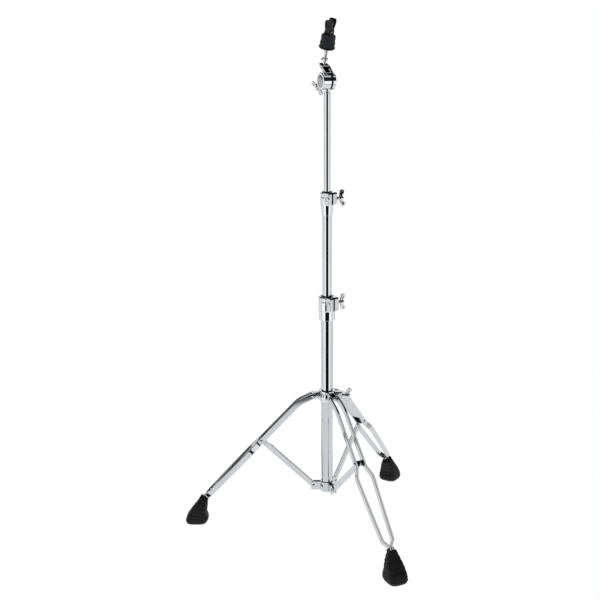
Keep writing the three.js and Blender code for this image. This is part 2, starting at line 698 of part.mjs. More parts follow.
function clampStation(which, outerTube, innerTube, top) {
  const bore = innerTube.radius + gap + bushing.wall + gap;
  const boltReach = bore + clampLug.boltGap + wingBolt.shankRadius;
  const boltHeight = top + clampHead[which] - clampBoss.boltDrop;
  const station = new THREE.Group();
  station.rotation.z = radians(clampLug.azimuth);
  stand.add(station);
  const casting = mesh(`${which}_clamp`, clampBody(which, outerTube, innerTube), chrome(), station);
  casting.position.z = top;
  const face = clampLug.halfWidth + clampBoss.height;
  const nutHole = rodAlongZ(wingBolt.shankRadius + gap, -overrun, clampNut.height + overrun, sides.small);
  const nutBody = alongY(cut(rodAlongZ(clampNut.radius, 0, clampNut.height, 6), nutHole));
  const nutMesh = mesh(`${which}_clamp_nut`, nutBody, chrome(), station);
  nutMesh.position.set(boltReach, gap - face + clampBoss.recess - clampNut.height - 2 * gap, boltHeight);
  const shank = 2 * face - clampBoss.recess + clampNut.height;
  const boltSeat = new THREE.Vector3(boltReach, face, boltHeight);
  placeWingBolt(`${which}_wing_bolt`, shank, boltSeat, 90, clampWingSpin[which], station);
  const inner = innerTube.radius + gap;
  const outer = inner + bushing.wall;
  const head = clampHead[which];
  const ring = revolve([
    [inner, gap], [outer, gap], [outer, head + gap], [outer + bushing.flange, head + gap],
    [outer + bushing.flange, head + gap + bushing.flangeHeight], [inner, head + gap + bushing.flangeHeight],
    [inner, gap],
  ], sides.ring);
  const split = new THREE.BoxGeometry(2 * outer, bushing.split, 2 * head + overrun);
  split.translate(outer, 0, head / 2);
  const ringMesh = mesh(`${which}_bushing`, cut(ring, split), nylon(), station);
  ringMesh.position.z = top;
  return top + head + gap + bushing.flangeHeight;
}

const lowerClampTop = clampStation('lower', baseTube, middleTube, baseTop);
const middleTop = lowerClampTop + middleTube.shown + clampSleeve.upper;
mesh('middle_tube', pipe(
  middleTube.radius, middleTube.radius - middleTube.wall,
  baseTop - middleTube.inserted, middleTop, sides.tube,
), chrome());
const upperClampTop = clampStation('upper', middleTube, topTube, middleTop);
const topTubeTop = upperClampTop + topTube.shown;
mesh('top_tube', pipe(
  topTube.radius, topTube.radius - topTube.wall, middleTop - topTube.inserted, topTubeTop, sides.tube,
), chrome());

// Tilter, in a frame whose origin is on the tilt axis and whose X runs along it

const tiltHeight = topTubeTop + tilter.rise;
const tilterFrame = new THREE.Group();
tilterFrame.position.z = tiltHeight;
tilterFrame.rotation.z = radians(tilter.azimuth);
stand.add(tilterFrame);
const grooveEnd = tilter.grooveStart + tilter.groove;

function tilterHousing() {
  const { radius, left, grooveStart, edge, ringRadius, ringHeight, neckRadius, rise } = tilter;
  const barrel = alongX(revolve([
    [0, -left], [radius - edge, -left], [radius, edge - left], [radius, grooveStart - edge / 2],
    [radius - edge / 2, grooveStart], [0, grooveStart],
  ], sides.ring));
  const spigotRadius = topTube.radius - topTube.wall - gap;
  const shelf = gap - rise;
  const neckTop = -Math.sqrt(radius * radius - neckRadius * neckRadius);
  const neckBody = revolve([
    [0, shelf - tilter.spigot], [spigotRadius, shelf - tilter.spigot], [spigotRadius, shelf],
    [ringRadius, shelf], [ringRadius, shelf + ringHeight - edge / 2],
    [ringRadius - edge / 2, shelf + ringHeight], [neckRadius, shelf + ringHeight],
    [neckRadius, neckTop], [0, neckTop],
  ], sides.medium);
  const armRoom = new THREE.BoxGeometry(2 * radius, 4 * radius, 2 * radius);
  armRoom.translate(grooveStart + radius, 0, -arm.clearance);
  const bossLocal = alongY(rodAlongZ(brake.bossRadius, 0, brake.bossReach, sides.small));
  bossLocal.rotateX(-radians(brake.angle)).translate(-brake.offset, 0, 0);
  const screwLocal = alongY(rodAlongZ(wingBolt.shankRadius + gap, 0, brake.bossReach + overrun, sides.small));
  screwLocal.rotateX(-radians(brake.angle)).translate(-brake.offset, 0, 0);
  const spindleEnd = tilter.spindleLength - grooveEnd;
  return cut(
    join(barrel, cut(neckBody, armRoom), bossLocal),
    alongX(rodAlongZ(tilter.spindleRadius + gap, -spindleEnd - gap, radius, sides.ring)),
    alongX(rodAlongZ(pivotBolt.radius + gap, -2 * left, radius, sides.small)),
    alongX(rodAlongZ(tilter.plateRadius + gap, -2 * left, tilter.plateDepth - left, sides.ring)),
    screwLocal,
  );
}

mesh('tilter_housing', tilterHousing(), chrome(), tilterFrame);
mesh('tilter_cover', alongX(revolve([
  [0, -tilter.left - tilter.plateDome], [tilter.plateRadius / 2, -tilter.left - tilter.plateDome / 2],
  [tilter.plateRadius, -tilter.left], [tilter.plateRadius, tilter.plateDepth - gap - tilter.left],
  [0, tilter.plateDepth - gap - tilter.left],
], sides.ring)), chrome(), tilterFrame);
mesh('friction_washer', alongX(pipe(
  tilter.washerRadius, tilter.spindleRadius + gap, tilter.grooveStart + gap, grooveEnd - gap, sides.ring,
)), nylon(), tilterFrame);
const brakeHolder = new THREE.Group();
brakeHolder.rotation.x = -radians(brake.angle);
brakeHolder.position.x = -brake.offset;
tilterFrame.add(brakeHolder);
placeWingBolt(
  'tilter_wing_bolt', brake.bossReach - tilter.spindleRadius - 2 * gap,
  new THREE.Vector3(0, brake.bossReach, 0), 90, brake.spin, brakeHolder,
);

const tiltFrame = new THREE.Group();
tiltFrame.rotation.x = radians(rodTilt);
tilterFrame.add(tiltFrame);

// The arm: a disc beside the barrel that rises and leans over it to a boss round the rod
function tiltArm() {
  const { radius, right, edge } = tilter;
  const disc = alongX(revolve([
    [0, grooveEnd], [radius - edge / 2, grooveEnd], [radius, grooveEnd + edge / 2],
    [radius, right - edge], [radius - edge, right], [0, right],
  ], sides.ring));
  const bossLeft = -arm.rodOffset - arm.bossHalf;
  const shoulder = -arm.shoulderIn;
  const outline = polygon([
    [right, 0], [right, arm.rootHeight], [shoulder, arm.height - arm.corner],
    [shoulder - arm.corner, arm.height], [bossLeft + arm.corner, arm.height],
    [bossLeft, arm.height - arm.corner], [bossLeft, 0],
  ]);
  const web = plate(outline, 2 * arm.halfDepth, arm.edge, 4);
  const inset = arm.recessInset;
  const pocketTop = arm.height - 2 * inset;
  const pocketOutline = polygon([
    [right - inset, arm.rootHeight], [shoulder - inset / 2, pocketTop],
    [shoulder - 2 * inset, pocketTop], [shoulder - 2 * inset, radius + inset],
    [right - 3 * inset, radius + inset / 2],
  ]);
  const pocket = (side) => plate(pocketOutline, 2 * arm.recess, 0, 4).translate(0, side * arm.halfDepth, 0);
  const barrelRoom = alongX(rodAlongZ(radius + arm.clearance, -4 * radius, grooveEnd, 2 * sides.ring));
  const underRoom = new THREE.BoxGeometry(4 * radius, 4 * radius, 2 * radius);
  underRoom.translate(grooveEnd - 2 * radius, 0, -radius);
  const spindleEnd = tilter.spindleLength - grooveEnd;
  const discMiddle = (right + grooveEnd) / 2;
  const spindle = alongX(rodAlongZ(tilter.spindleRadius, gap - spindleEnd, discMiddle, sides.ring));
  const socketDepth = arm.height - rod.socket;
  const rodHole = rodAlongZ(rod.radius + gap, socketDepth - gap, arm.height + overrun, sides.small);
  return cut(
    join(disc, cut(web, barrelRoom, underRoom, pocket(1), pocket(-1)), spindle),
    rodHole.translate(-arm.rodOffset, 0, 0),
    alongX(rodAlongZ(pivotBolt.radius + gap, -2 * radius, 2 * radius, sides.small)),
  );
}

mesh('tilter_arm', tiltArm(), chrome(), tiltFrame);
mesh('pivot_bolt', alongX(revolve([
  [0, tilter.plateDepth + gap - tilter.left], [pivotBolt.radius, tilter.plateDepth + gap - tilter.left],
  [pivotBolt.radius, tilter.right + gap], [pivotBolt.headRadius, tilter.right + gap],
  [pivotBolt.headRadius, tilter.right + pivotBolt.headHeight - pivotBolt.corner],
  [pivotBolt.headRadius - pivotBolt.corner, tilter.right + pivotBolt.headHeight],
  [0, tilter.right + pivotBolt.headHeight],
], sides.small)), chrome(), tiltFrame);

// Rod and stack, in a frame along the rod

const rodFrame = new THREE.Group();
rodFrame.position.x = -arm.rodOffset;
tiltFrame.add(rodFrame);
const rodBottom = arm.height - rod.socket;
const rodTop = rodBottom + rod.length;
mesh('rod', revolve([
  [0, rodBottom], [rod.radius, rodBottom], [rod.radius, rodTop - rod.tipEdge],
  [rod.radius - rod.tipEdge, rodTop], [0, rodTop],
], sides.small), chrome(), rodFrame);

function stopCollarBody() {
  const low = arm.height + stopCollar.rise;
  const ring = rodAlongZ(stopCollar.radius, low, low + stopCollar.height, sides.small);
  const screwEnd = stopCollar.radius + stopCollar.screwReach;
  const screw = alongX(rodAlongZ(stopCollar.screwRadius, rod.radius, screwEnd, 4));
  screw.rotateX(Math.PI / 4).rotateZ(Math.PI).translate(0, 0, low + stopCollar.height / 2);
  const bore = rodAlongZ(rod.radius + gap, low - overrun, low + stopCollar.height + overrun, sides.small);
  return cut(join(ring, screw), bore);
}

mesh('stop_collar', stopCollarBody(), chrome(), rodFrame);

const seatTop = seat.height + seat.thickness;
const sleeveRadius = rod.radius + gap + seat.sleeveWall;
mesh('cymbal_seat', revolve([
  [rod.radius + gap, seat.height - seat.hubHeight],
  [seat.hubRadius - seat.dish, seat.height - seat.hubHeight],
  [seat.hubRadius, seat.height - seat.hubHeight / 2], [seat.hubRadius, seat.height],
  [seat.radius - seat.dish, seat.height], [seat.radius, seat.height + seat.dish], [seat.radius, seatTop],
  [sleeveRadius, seatTop], [sleeveRadius, seatTop + seat.sleeveLength],
  [rod.radius + gap, seatTop + seat.sleeveLength], [rod.radius + gap, seat.height - seat.hubHeight],
], sides.medium), nylon(), rodFrame);

function feltRing(radius) {
  const bore = sleeveRadius + gap;
  const { thickness, edge } = felt;
  return revolve([
    [bore, 0], [radius - edge, 0], [radius, edge], [radius, thickness - edge],
    [radius - edge, thickness], [bore, thickness], [bore, 0],
  ], sides.medium);
}

const lowerFelt = mesh('lower_felt', feltRing(felt.lowerRadius), feltCloth(), rodFrame);
lowerFelt.position.z = seatTop + gap;
const upperFelt = mesh('upper_felt', feltRing(felt.upperRadius), feltCloth(), rodFrame);
upperFelt.position.z = lowerFelt.position.z + felt.thickness + gap;

// Quick-release nut: a flanged body with cheeks, and two paddles on the pins between them

const nutFrame = new THREE.Group();
nutFrame.position.z = upperFelt.position.z + felt.thickness + gap;
nutFrame.rotation.z = radians(nut.azimuth);
rodFrame.add(nutFrame);
const knuckleWidth = paddle.rootWidth;

function nutBody() {
  const core = revolve([
    [0, 0], [nut.flangeRadius - nut.cheekWall / 2, 0], [nut.flangeRadius, nut.cheekWall / 2],
    [nut.flangeRadius, nut.flangeHeight - nut.cheekWall / 2],
    [nut.flangeRadius - nut.cheekWall, nut.flangeHeight],
    [nut.coreRadius, nut.flangeHeight], [nut.coreRadius, nut.height - nut.cheekWall / 2],
    [nut.coreRadius - nut.cheekWall / 2, nut.height], [0, nut.height],
  ], sides.medium);
  const cheeks = [];
  [1, -1].forEach((side) => {
    const shape = roundedRectangle(
      -nut.cheekReach, nut.flangeHeight / 2,
      nut.cheekReach, nut.flangeHeight + nut.cheekHeight, nut.cheekWall,
    );
    const offset = knuckleWidth / 2 + gap + nut.cheekWall / 2;
    cheeks.push(plate(shape, nut.cheekWall, 0, 1).translate(0, side * offset, 0));
  });
  const pinLength = knuckleWidth / 2 + gap + nut.cheekWall / 2;
  const pins = [1, -1].map((side) => alongY(rodAlongZ(nut.pinRadius, -pinLength, pinLength, sides.pin))
    .translate(side * paddle.offset, 0, nut.flangeHeight + nut.hingeHeight - nut.cheekHeight / 4));
  const bore = rodAlongZ(rod.radius + gap, -overrun, nut.height + overrun, sides.small);
  return cut(join(core, ...cheeks, ...pins), bore);
}

mesh('nut_body', nutBody(), nylon(), nutFrame);

// A paddle, drawn standing on its pin with its pad facing +X
function paddleBody() {
  const half = paddle.width / 2;
  const root = paddle.rootWidth / 2;
  const top = paddle.length - half;
  const shape = new THREE.Shape();
  shape.moveTo(root, 0);
  shape.bezierCurveTo(root, top / 2, half, top / 2, half, top);
  shape.absarc(0, top, half, 0, Math.PI);
  shape.bezierCurveTo(-half, top / 2, -root, top / 2, -root, 0);
  const pad = plate(shape, paddle.thickness, paddle.edge, 4).rotateZ(-Math.PI / 2);
  pad.translate(paddle.thickness / 2, 0, 0);
  const knuckle = alongY(rodAlongZ(paddle.knuckleRadius, -root, root, sides.small));
  const face = paddle.thickness;
  const dish = alongX(rodAlongZ(paddle.dishRadius, face - paddle.dishDepth, face + overrun, sides.small));
  dish.translate(0, 0, top);
  const pinHole = alongY(rodAlongZ(nut.pinRadius + gap / 2, -paddle.width, paddle.width, sides.pin));
  return cut(join(pad, knuckle), dish, pinHole);
}

['a', 'b'].forEach((letter, k) => {
  const side = new THREE.Group();
  side.rotation.z = k * Math.PI;
  nutFrame.add(side);
  const piece = mesh(`nut_paddle_${letter}`, paddleBody(), nylon(), side);
  piece.position.set(paddle.offset, 0, nut.flangeHeight + nut.hingeHeight - nut.cheekHeight / 4);
});

// The origin goes under the middle of the footprint, at floor level

const reach = new THREE.Box3().setFromObject(stand);
const centre = reach.getCenter(new THREE.Vector3());
stand.position.set(-centre.x, -centre.y, -reach.min.z);

const group = new THREE.Group();
group.add(stand);

export default group;
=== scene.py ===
# Straight double-braced cymbal stand: its looks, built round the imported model.
# Every length below is in millimetres; a piece is scaled to metres when it is placed.

import json
import math
from types import SimpleNamespace as Sizes

import bmesh
import bpy
from mathutils import Matrix, Vector, noise


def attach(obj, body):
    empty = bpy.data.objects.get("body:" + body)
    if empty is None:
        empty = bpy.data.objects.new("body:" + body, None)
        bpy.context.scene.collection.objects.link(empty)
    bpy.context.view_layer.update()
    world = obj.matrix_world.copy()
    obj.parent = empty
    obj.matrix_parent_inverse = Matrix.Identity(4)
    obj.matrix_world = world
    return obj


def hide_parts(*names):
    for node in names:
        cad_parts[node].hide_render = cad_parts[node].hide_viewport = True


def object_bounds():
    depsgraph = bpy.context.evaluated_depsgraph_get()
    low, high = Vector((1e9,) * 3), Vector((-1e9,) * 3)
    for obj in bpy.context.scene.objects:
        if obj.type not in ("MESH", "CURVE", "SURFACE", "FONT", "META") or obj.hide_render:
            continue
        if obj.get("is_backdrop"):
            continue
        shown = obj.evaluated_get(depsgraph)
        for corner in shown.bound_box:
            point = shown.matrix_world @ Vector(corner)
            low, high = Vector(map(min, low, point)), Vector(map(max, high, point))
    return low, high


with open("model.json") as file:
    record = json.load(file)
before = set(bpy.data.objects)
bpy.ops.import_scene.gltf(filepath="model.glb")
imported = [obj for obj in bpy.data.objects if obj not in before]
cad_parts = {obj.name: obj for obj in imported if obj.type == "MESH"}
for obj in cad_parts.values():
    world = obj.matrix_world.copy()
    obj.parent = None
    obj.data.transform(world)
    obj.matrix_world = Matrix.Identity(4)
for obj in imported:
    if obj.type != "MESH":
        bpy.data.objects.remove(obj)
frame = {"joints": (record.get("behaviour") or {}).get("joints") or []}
cad_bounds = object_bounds()

METRES = 0.001
GAP = 0.3  # between pieces that move or are fitted
SNUG, CLOSE, FREE = 0.05, 0.1, 0.15  # closer fits
SEATED = 0.02  # between a head and the face it lies on
SEAM = 0.004  # points nearer than this are one
PAST = 5  # how far a cutter runs past the shape
FACING = 0.7  # how far a normal points along an axis
ROUND = 96  # steps round a turned shape

# Sizes of the stand

ARM_LENGTH = 178
ARM_ANGLE = 47.3
HINGE_RADIUS = 34
BRACKET_HEIGHT = 105.6
LEG_SLOPE = 47.3
SHOULDER_SLOPE = 26
SHOULDER_BEND = 14
LEGS = ("left", "front", "back")

BAR = Sizes(width=13.5, thickness=5, edge=1.1, top_spread=10, middle_spread=11.4, wide_spread=21.5,
            low_spread=13.8, jog_start=10, jog_length=27, jog_bend=16, close_length=14, close_bend=4,
            end_length=13)
PIN = Sizes(radius=2.6, head=4.2, height=2.1)
STAY = Sizes(width=13.4, thickness=7, wall=1.5, web=12.2, tongue=3.2, tongue_length=13, inset=13)
SPACER_RADIUS = 6.8
CLIP = Sizes(length=6, step=1.5, wall=1.4)
PLUG = Sizes(rim=2, length=16)
FOOT = Sizes(length=58, height=72, width=51, top_drop=7.8, top_depth=23, top_width=22, top_offset=9.3,
             ribs=8, rib_depth=0.55, ribs_from=0.1, ribs_to=0.85, squareness=0.6)

BASE_TUBE = Sizes(radius=14.3, wall=1.6, length=470, overhang=11)
MIDDLE_TUBE = Sizes(radius=11.1, wall=1.5, shown=198, inserted=250)
TOP_TUBE = Sizes(radius=7.95, wall=1.2, shown=227.8, inserted=264)

BRACKET = Sizes(wall=2.6, height=25, ear_wall=2.3, ear_reach=6.6, ear_height=21, ear_corner=7)
BRACKET_SCREW = Sizes(radius=2.4, head=4.6, height=2.6, azimuth=219, reach=4, cross=2.6, arm=0.6, floor=1.2)
COLLAR = Sizes(wall=4.4, height=28, lip=1.2, lip_height=3.5, lug_radius=6.9, lug_root=20,
               boss_reach=37, boss_width=17, boss_height=21, wing_spin=8, waist=2.3, waist_low=12,
               waist_high=20.5, waist_end=22.3, root=5)

CLAMPS = {
    "lower": Sizes(outer=BASE_TUBE, inner=MIDDLE_TUBE, body="base", wall=4.3, sleeve=22, head=37, taper=0,
                   wing_spin=0),
    "upper": Sizes(outer=MIDDLE_TUBE, inner=TOP_TUBE, body="middle", wall=2.9, sleeve=24, head=32, taper=2,
                   wing_spin=-8),
}
CLAMP = Sizes(azimuth=-47.4, half_width=14.2, end=9.2, corner=5, edge=2, slot=4.6, slot_shift=1.5, bolt_gap=2.2,
              flange=1.5, waist=1.4, waist_height=9, flange_height=5.5, shoulder=2.4, crown=2.4, boss=6.6,
              boss_height=1.4, boss_depth=2.4, recess=5, bolt_drop=16, nut_radius=4.9, nut_height=4.2)
BUSHING = Sizes(wall=2.6, flange=0.6, flange_height=0.7, split=1.6, fit=0.08)

WING = Sizes(shank=3, collar=5.2, collar_height=1.8, stem=7.4, stem_radius=3.3, hub=6.1, hub_tip=4.4,
             hub_length=12.5, span=20, lobe_width=13, lobe_root=9, root_thickness=6, tip_thickness=2.6,
             sweep=4.5, hollow=0.52, web=1.6)

TILTER = Sizes(azimuth=27.6, rise=29, radius=20, left=17.5, groove_start=2.4, groove=4.5, right=15,
               ring=8.7, ring_height=4, neck=6.8, spigot=20, plate=14.8, plate_depth=1.6, plate_fit=0.12,
               dome=0.7, spindle=11.5, spindle_length=14, washer=17.4)
PIVOT_BOLT = Sizes(radius=3.8, head=7, height=3.6, corner=1, socket=3.4, socket_floor=1.2)
BRAKE = Sizes(angle=25, offset=6.3, radius=7, reach=27, spin=-30)
ROD_TILT = 20
ARM = Sizes(half_depth=9, rod_offset=14.2, height=41.6, half=9, shoulder_in=3, root_height=15,
            corner=3.5, slant=5.5, foot=6, recess=1.4, inset=3.6, clearance=0.6)
ROD = Sizes(radius=4, length=122, socket=18, tip=1, thread=60, pitch=1.25, thread_depth=0.55)
STOP = Sizes(radius=6.2, height=6, rise=9, screw=1.512, screw_reach=4.2, screw_root=4.2)
SEAT = Sizes(height=80, radius=18.6, thickness=3.8, dish=1.4, sleeve_wall=1.9, sleeve=25, hub=8.5,
             hub_height=3)
FELT = Sizes(lower=17.2, upper=16.4, thickness=13.3, edge=2.6, bore_edge=0.8)
NUT = Sizes(flange=11.6, flange_height=3.4, core=6.4, height=33, azimuth=-137.5, cheek_reach=11.8,
            cheek_wall=1.8, cheek_bottom=1.6, cheek_height=8.4, hinge=7, pin=1.3)
PADDLE = Sizes(offset=9.5, thickness=4.2, width=17.6, root=11.4, length=28, corner=5, knuckle=2.6,
               dish=5.2, dish_depth=1.3)


# Places

def at(x=0, y=0, z=0):
    return Matrix.Translation((x, y, z))


def turn(axis, degrees):
    return Matrix.Rotation(math.radians(degrees), 4, axis)


AXIS = next(j for j in frame["joints"] if j["name"] == "middle_turn")["pos_m"]
STAND = at(AXIS[0] / METRES, AXIS[1] / METRES, 0)

arm_rise = ARM_LENGTH * math.cos(math.radians(ARM_ANGLE))
arm_reach = ARM_LENGTH * math.sin(math.radians(ARM_ANGLE))
collar_height = BRACKET_HEIGHT + 2 * arm_rise
pivot_radius = HINGE_RADIUS + arm_reach
pivot_height = BRACKET_HEIGHT + arm_rise
leg_down = Vector((math.cos(math.radians(LEG_SLOPE)), 0, -math.sin(math.radians(LEG_SLOPE))))
base_bottom = BRACKET_HEIGHT - BASE_TUBE.overhang
base_top = base_bottom + BASE_TUBE.length
lower_clamp_top = base_top + CLAMPS["lower"].head + GAP + BUSHING.flange_height
middle_top = lower_clamp_top + MIDDLE_TUBE.shown + CLAMPS["upper"].sleeve
upper_clamp_top = middle_top + CLAMPS["upper"].head + GAP + BUSHING.flange_height
top_tube_top = upper_clamp_top + TOP_TUBE.shown
tilt_height = top_tube_top + TILTER.rise
groove_end = TILTER.groove_start + TILTER.groove

TILTER_FRAME = STAND @ at(z=tilt_height) @ turn("Z", TILTER.azimuth)
BRAKE_FRAME = TILTER_FRAME @ at(-BRAKE.offset) @ turn("X", -BRAKE.angle)
TILT_FRAME = TILTER_FRAME @ turn("X", ROD_TILT)
ROD_FRAME = TILT_FRAME @ at(-ARM.rod_offset)
seat_top = SEAT.height + SEAT.thickness
lower_felt_height = seat_top + GAP
upper_felt_height = lower_felt_height + FELT.thickness + GAP
nut_height = upper_felt_height + FELT.thickness + GAP
NUT_FRAME = ROD_FRAME @ at(z=nut_height) @ turn("Z", NUT.azimuth)
paddle_hinge = NUT.flange_height + NUT.hinge - NUT.cheek_height / 4

clamp_face = CLAMP.half_width + CLAMP.boss_height
for clamp, height in ((CLAMPS["lower"], base_top), (CLAMPS["upper"], middle_top)):
    clamp.place = STAND @ turn("Z", CLAMP.azimuth) @ at(z=height)
    clamp.bore = clamp.inner.radius + 2 * GAP + BUSHING.wall
    clamp.bolt_reach = clamp.bore + CLAMP.bolt_gap + WING.shank
    clamp.bolt_height = clamp.head - CLAMP.bolt_drop


def leg_turn(index):
    return turn("Z", 180 + 120 * index)


def on_leg(distance, spread=0):
    return Vector((pivot_radius, spread, pivot_height)) + leg_down * distance


foot_distance = (pivot_height - FOOT.height + FOOT.top_drop) / math.sin(math.radians(LEG_SLOPE))
clip_distance = foot_distance - CLIP.length - CLIP.step


# Shapes. Each helper returns a bmesh in its own frame, in millimetres.

def fillet(points, corner, closed=False, steps=5):
    """Rounds the corners of a line of points; a point may carry its own size as a last number."""
    made = []
    last = len(points) - 1
    for i, point in enumerate(points):
        here = Vector(point[:2])
        if not closed and i in (0, last):
            made.append(here)
            continue
        back = Vector(points[i - 1][:2]) - here
        ahead = Vector(points[(i + 1) % len(points)][:2]) - here
        size = min(point[2] if len(point) > 2 else corner, 0.48 * back.length, 0.48 * ahead.length)
        if size < 0.02:
            made.append(here)
            continue
        start, end = here + back.normalized() * size, here + ahead.normalized() * size
        for k in range(steps + 1):
            share = k / steps
            made.append(start.lerp(here, share).lerp(here.lerp(end, share), share))
    return made


def spun(points, corner=0.4, closed=False, steps=ROUND):
    """A turned shape about Z from points given as (radius, height)."""
    bm = bmesh.new()
    verts = [bm.verts.new((p.x, 0, p.y)) for p in fillet(points, corner, closed)]
    pairs = list(zip(verts, verts[1:])) + ([(verts[-1], verts[0])] if closed else [])
    edges = [bm.edges.new(pair) for pair in pairs]
    bmesh.ops.spin(bm, geom=verts + edges, axis=(0, 0, 1), cent=(0, 0, 0), angle=math.tau,
                   steps=steps, use_merge=True)
    bmesh.ops.remove_doubles(bm, verts=bm.verts, dist=0.001)
    bmesh.ops.recalc_face_normals(bm, faces=bm.faces)
    return bm


def round_bar(radius, low, high, corner=0.3, steps=ROUND):
    return spun([(0, low), (radius, low), (radius, high), (0, high)], corner, steps=steps)


def pipe(inner, outer, low, high, corner=0.3, steps=ROUND):
    return spun([(inner, low), (outer, low), (outer, high), (inner, high)], corner, closed=True, steps=steps)


def arc(x, y, radius, first, last, steps):
    """Points on a round path from one angle to another, in degrees."""
    angles = [math.radians(first + (last - first) * k / steps) for k in range(steps + 1)]
    return [(x + radius * math.cos(angle), y + radius * math.sin(angle)) for angle in angles]


def slab(outline, depth, edge=0.6, segments=3):
    """An outline in X and Z given a depth along Y about the middle, with rounded rims."""
    bm = bmesh.new()
    face = bm.faces.new([bm.verts.new((p[0], -depth / 2, p[1])) for p in outline])
    made = bmesh.ops.extrude_face_region(bm, geom=[face])["geom"]
    far = [v for v in made if isinstance(v, bmesh.types.BMVert)]
    bmesh.ops.translate(bm, vec=(0, depth, 0), verts=far)
    bmesh.ops.recalc_face_normals(bm, faces=bm.faces)
    if edge:
        rims = [e for e in bm.edges if abs(e.verts[0].co.y - e.verts[1].co.y) < 0.001]
        bmesh.ops.bevel(bm, geom=rims, offset=edge, segments=segments, profile=0.5, affect="EDGES",
                        material=-1)
    return bm


def box(x0, x1, y0, y1, z0, z1):
    bm = bmesh.new()
    place = at((x0 + x1) / 2, (y0 + y1) / 2, (z0 + z1) / 2) @ Matrix.Diagonal((x1 - x0, y1 - y0, z1 - z0, 1))
    bmesh.ops.create_cube(bm, size=1, matrix=place)
    return bm


def lofted(rings):
    """A closed body through rings of points."""
    bm = bmesh.new()
    loops = []
    for ring in rings:
        verts = [bm.verts.new(p) for p in ring]
        loops.append([bm.edges.new(pair) for pair in zip(verts, verts[1:] + verts[:1])])
    for above, below in zip(loops, loops[1:]):
        bmesh.ops.bridge_loops(bm, edges=above + below)
    for loop in (loops[0], loops[-1]):
        bmesh.ops.edgeloop_fill(bm, edges=loop)
    bmesh.ops.recalc_face_normals(bm, faces=bm.faces)
    return bm


def moved(bm, *places):
    for place in places:
        bm.transform(place)
    return bm


def along_x(bm):
    return moved(bm, turn("Y", 90))


def along_y(bm):
    return moved(bm, turn("X", -90))


def soften(bm, size, segments=2, angle=35):
    """Rounds every edge that is sharper than the angle."""
    sharp = [e for e in bm.edges if e.is_manifold and math.degrees(e.calc_face_angle(0)) > angle]
    bmesh.ops.bevel(bm, geom=sharp, offset=size, segments=segments, profile=0.5, affect="EDGES",
                    material=-1, clamp_overlap=True)
    return bm


def temporary(bm):
    mesh = bpy.data.meshes.new("temporary")
    bm.to_mesh(mesh)
    bm.free()
    made = bpy.data.objects.new("temporary", mesh)
    bpy.context.scene.collection.objects.link(made)
    return made


def combined(bm, others, operation):
    """Adds meshes to a mesh, or cuts them out of it, one by one so that each result is closed."""
    for other in others:
        base, tool = temporary(bm), temporary(other)
        modifier = base.modifiers.new("boolean", "BOOLEAN")
        modifier.operation = operation
        modifier.solver = "EXACT"
        modifier.object = tool
        evaluated = base.evaluated_get(bpy.context.evaluated_depsgraph_get())
        bm = bmesh.new()
        bm.from_mesh(evaluated.to_mesh())
        evaluated.to_mesh_clear()
        for thing in (base, tool):
            mesh = thing.data
            bpy.data.objects.remove(thing)
            bpy.data.meshes.remove(mesh)
        bmesh.ops.remove_doubles(bm, verts=bm.verts, dist=SEAM)
        bmesh.ops.dissolve_degenerate(bm, edges=bm.edges, dist=SEAM)
    return bm


def joined(bm, *others):
    return combined(bm, others, "UNION")


def carved(bm, *others):
    return combined(bm, others, "DIFFERENCE")


def piece(name, bm, place, material, body, *nodes, slot="chrome", angle=32, shade_test=None):
    """Places a shape in the row frame and hangs it on its body in the nodes' stead.

    The test, given a face's middle and normal in the shape's own frame, picks the faces painted dark as shade.
    """
    for face in bm.faces:
        face.material_index = 1 if shade_test and shade_test(face.calc_center_median(), face.normal) else 0
    bm.transform(Matrix.Diagonal((METRES, METRES, METRES, 1)) @ place)
    bmesh.ops.recalc_face_normals(bm, faces=bm.faces)
    for face in bm.faces:
        face.smooth = True
    for edge in bm.edges:
        edge.smooth = not edge.is_manifold or math.degrees(edge.calc_face_angle(0)) < angle
    mesh = bpy.data.meshes.new(name)
    bm.to_mesh(mesh)
    bm.free()
    made = bpy.data.objects.new(name, mesh)
    bpy.context.scene.collection.objects.link(made)
    made.data.materials.append(material)
    # A second material paints the picked faces dark as shade.
    if shade_test:
        made.data.materials.append(PAINTED_SHADE)
    modifier = made.modifiers.new("weighted normals", "WEIGHTED_NORMAL")
    modifier.keep_sharp = True
    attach(made, body)
    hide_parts(*nodes)
    return made


# Materials

def linear(code):
    """A colour in sRGB hex as linear numbers."""
    made = []
    for k in (1, 3, 5):
        value = int(code[k:k + 2], 16) / 255
        made.append(value / 12.92 if value <= 0.04045 else ((value + 0.055) / 1.055) ** 2.4)
    return (*made, 1)


def fill(tree, node, inputs):
    """Sets a node's inputs; each takes a value or the socket to link."""
    for key, value in inputs.items():
        if isinstance(value, bpy.types.NodeSocket):
            tree.links.new(value, node.inputs[key])
        else:
            node.inputs[key].default_value = value


def add(tree, kind, inputs=None, **settings):
    node = tree.nodes.new(kind)
    for key, value in settings.items():
        setattr(node, key, value)
    fill(tree, node, inputs or {})
    return node


def ramp(tree, value, stops):
    node = add(tree, "ShaderNodeValToRGB", {"Fac": value})
    elements = node.color_ramp.elements
    while len(elements) < len(stops):
        elements.new(0.5)
    for element, (position, colour) in zip(elements, stops):
        element.position = position
        element.color = colour
    return node.outputs["Color"]


def between(tree, value, low, high):
    """A value from 0 to 1 mapped to run from low to high."""
    node = add(tree, "ShaderNodeMapRange", {"Value": value, "To Min": low, "To Max": high})
    return node.outputs["Result"]


def noise_value(tree, grain, detail=3, stretch=(1, 1, 1)):
    """Noise whose grain is given in millimetres."""
    coordinates = add(tree, "ShaderNodeTexCoord").outputs["Object"]
    mapped = add(tree, "ShaderNodeMapping", {"Vector": coordinates, "Scale": stretch}).outputs["Vector"]
    node = add(tree, "ShaderNodeTexNoise", {"Vector": mapped, "Scale": 1 / (grain * METRES), "Detail": detail})
    return node.outputs["Fac"]


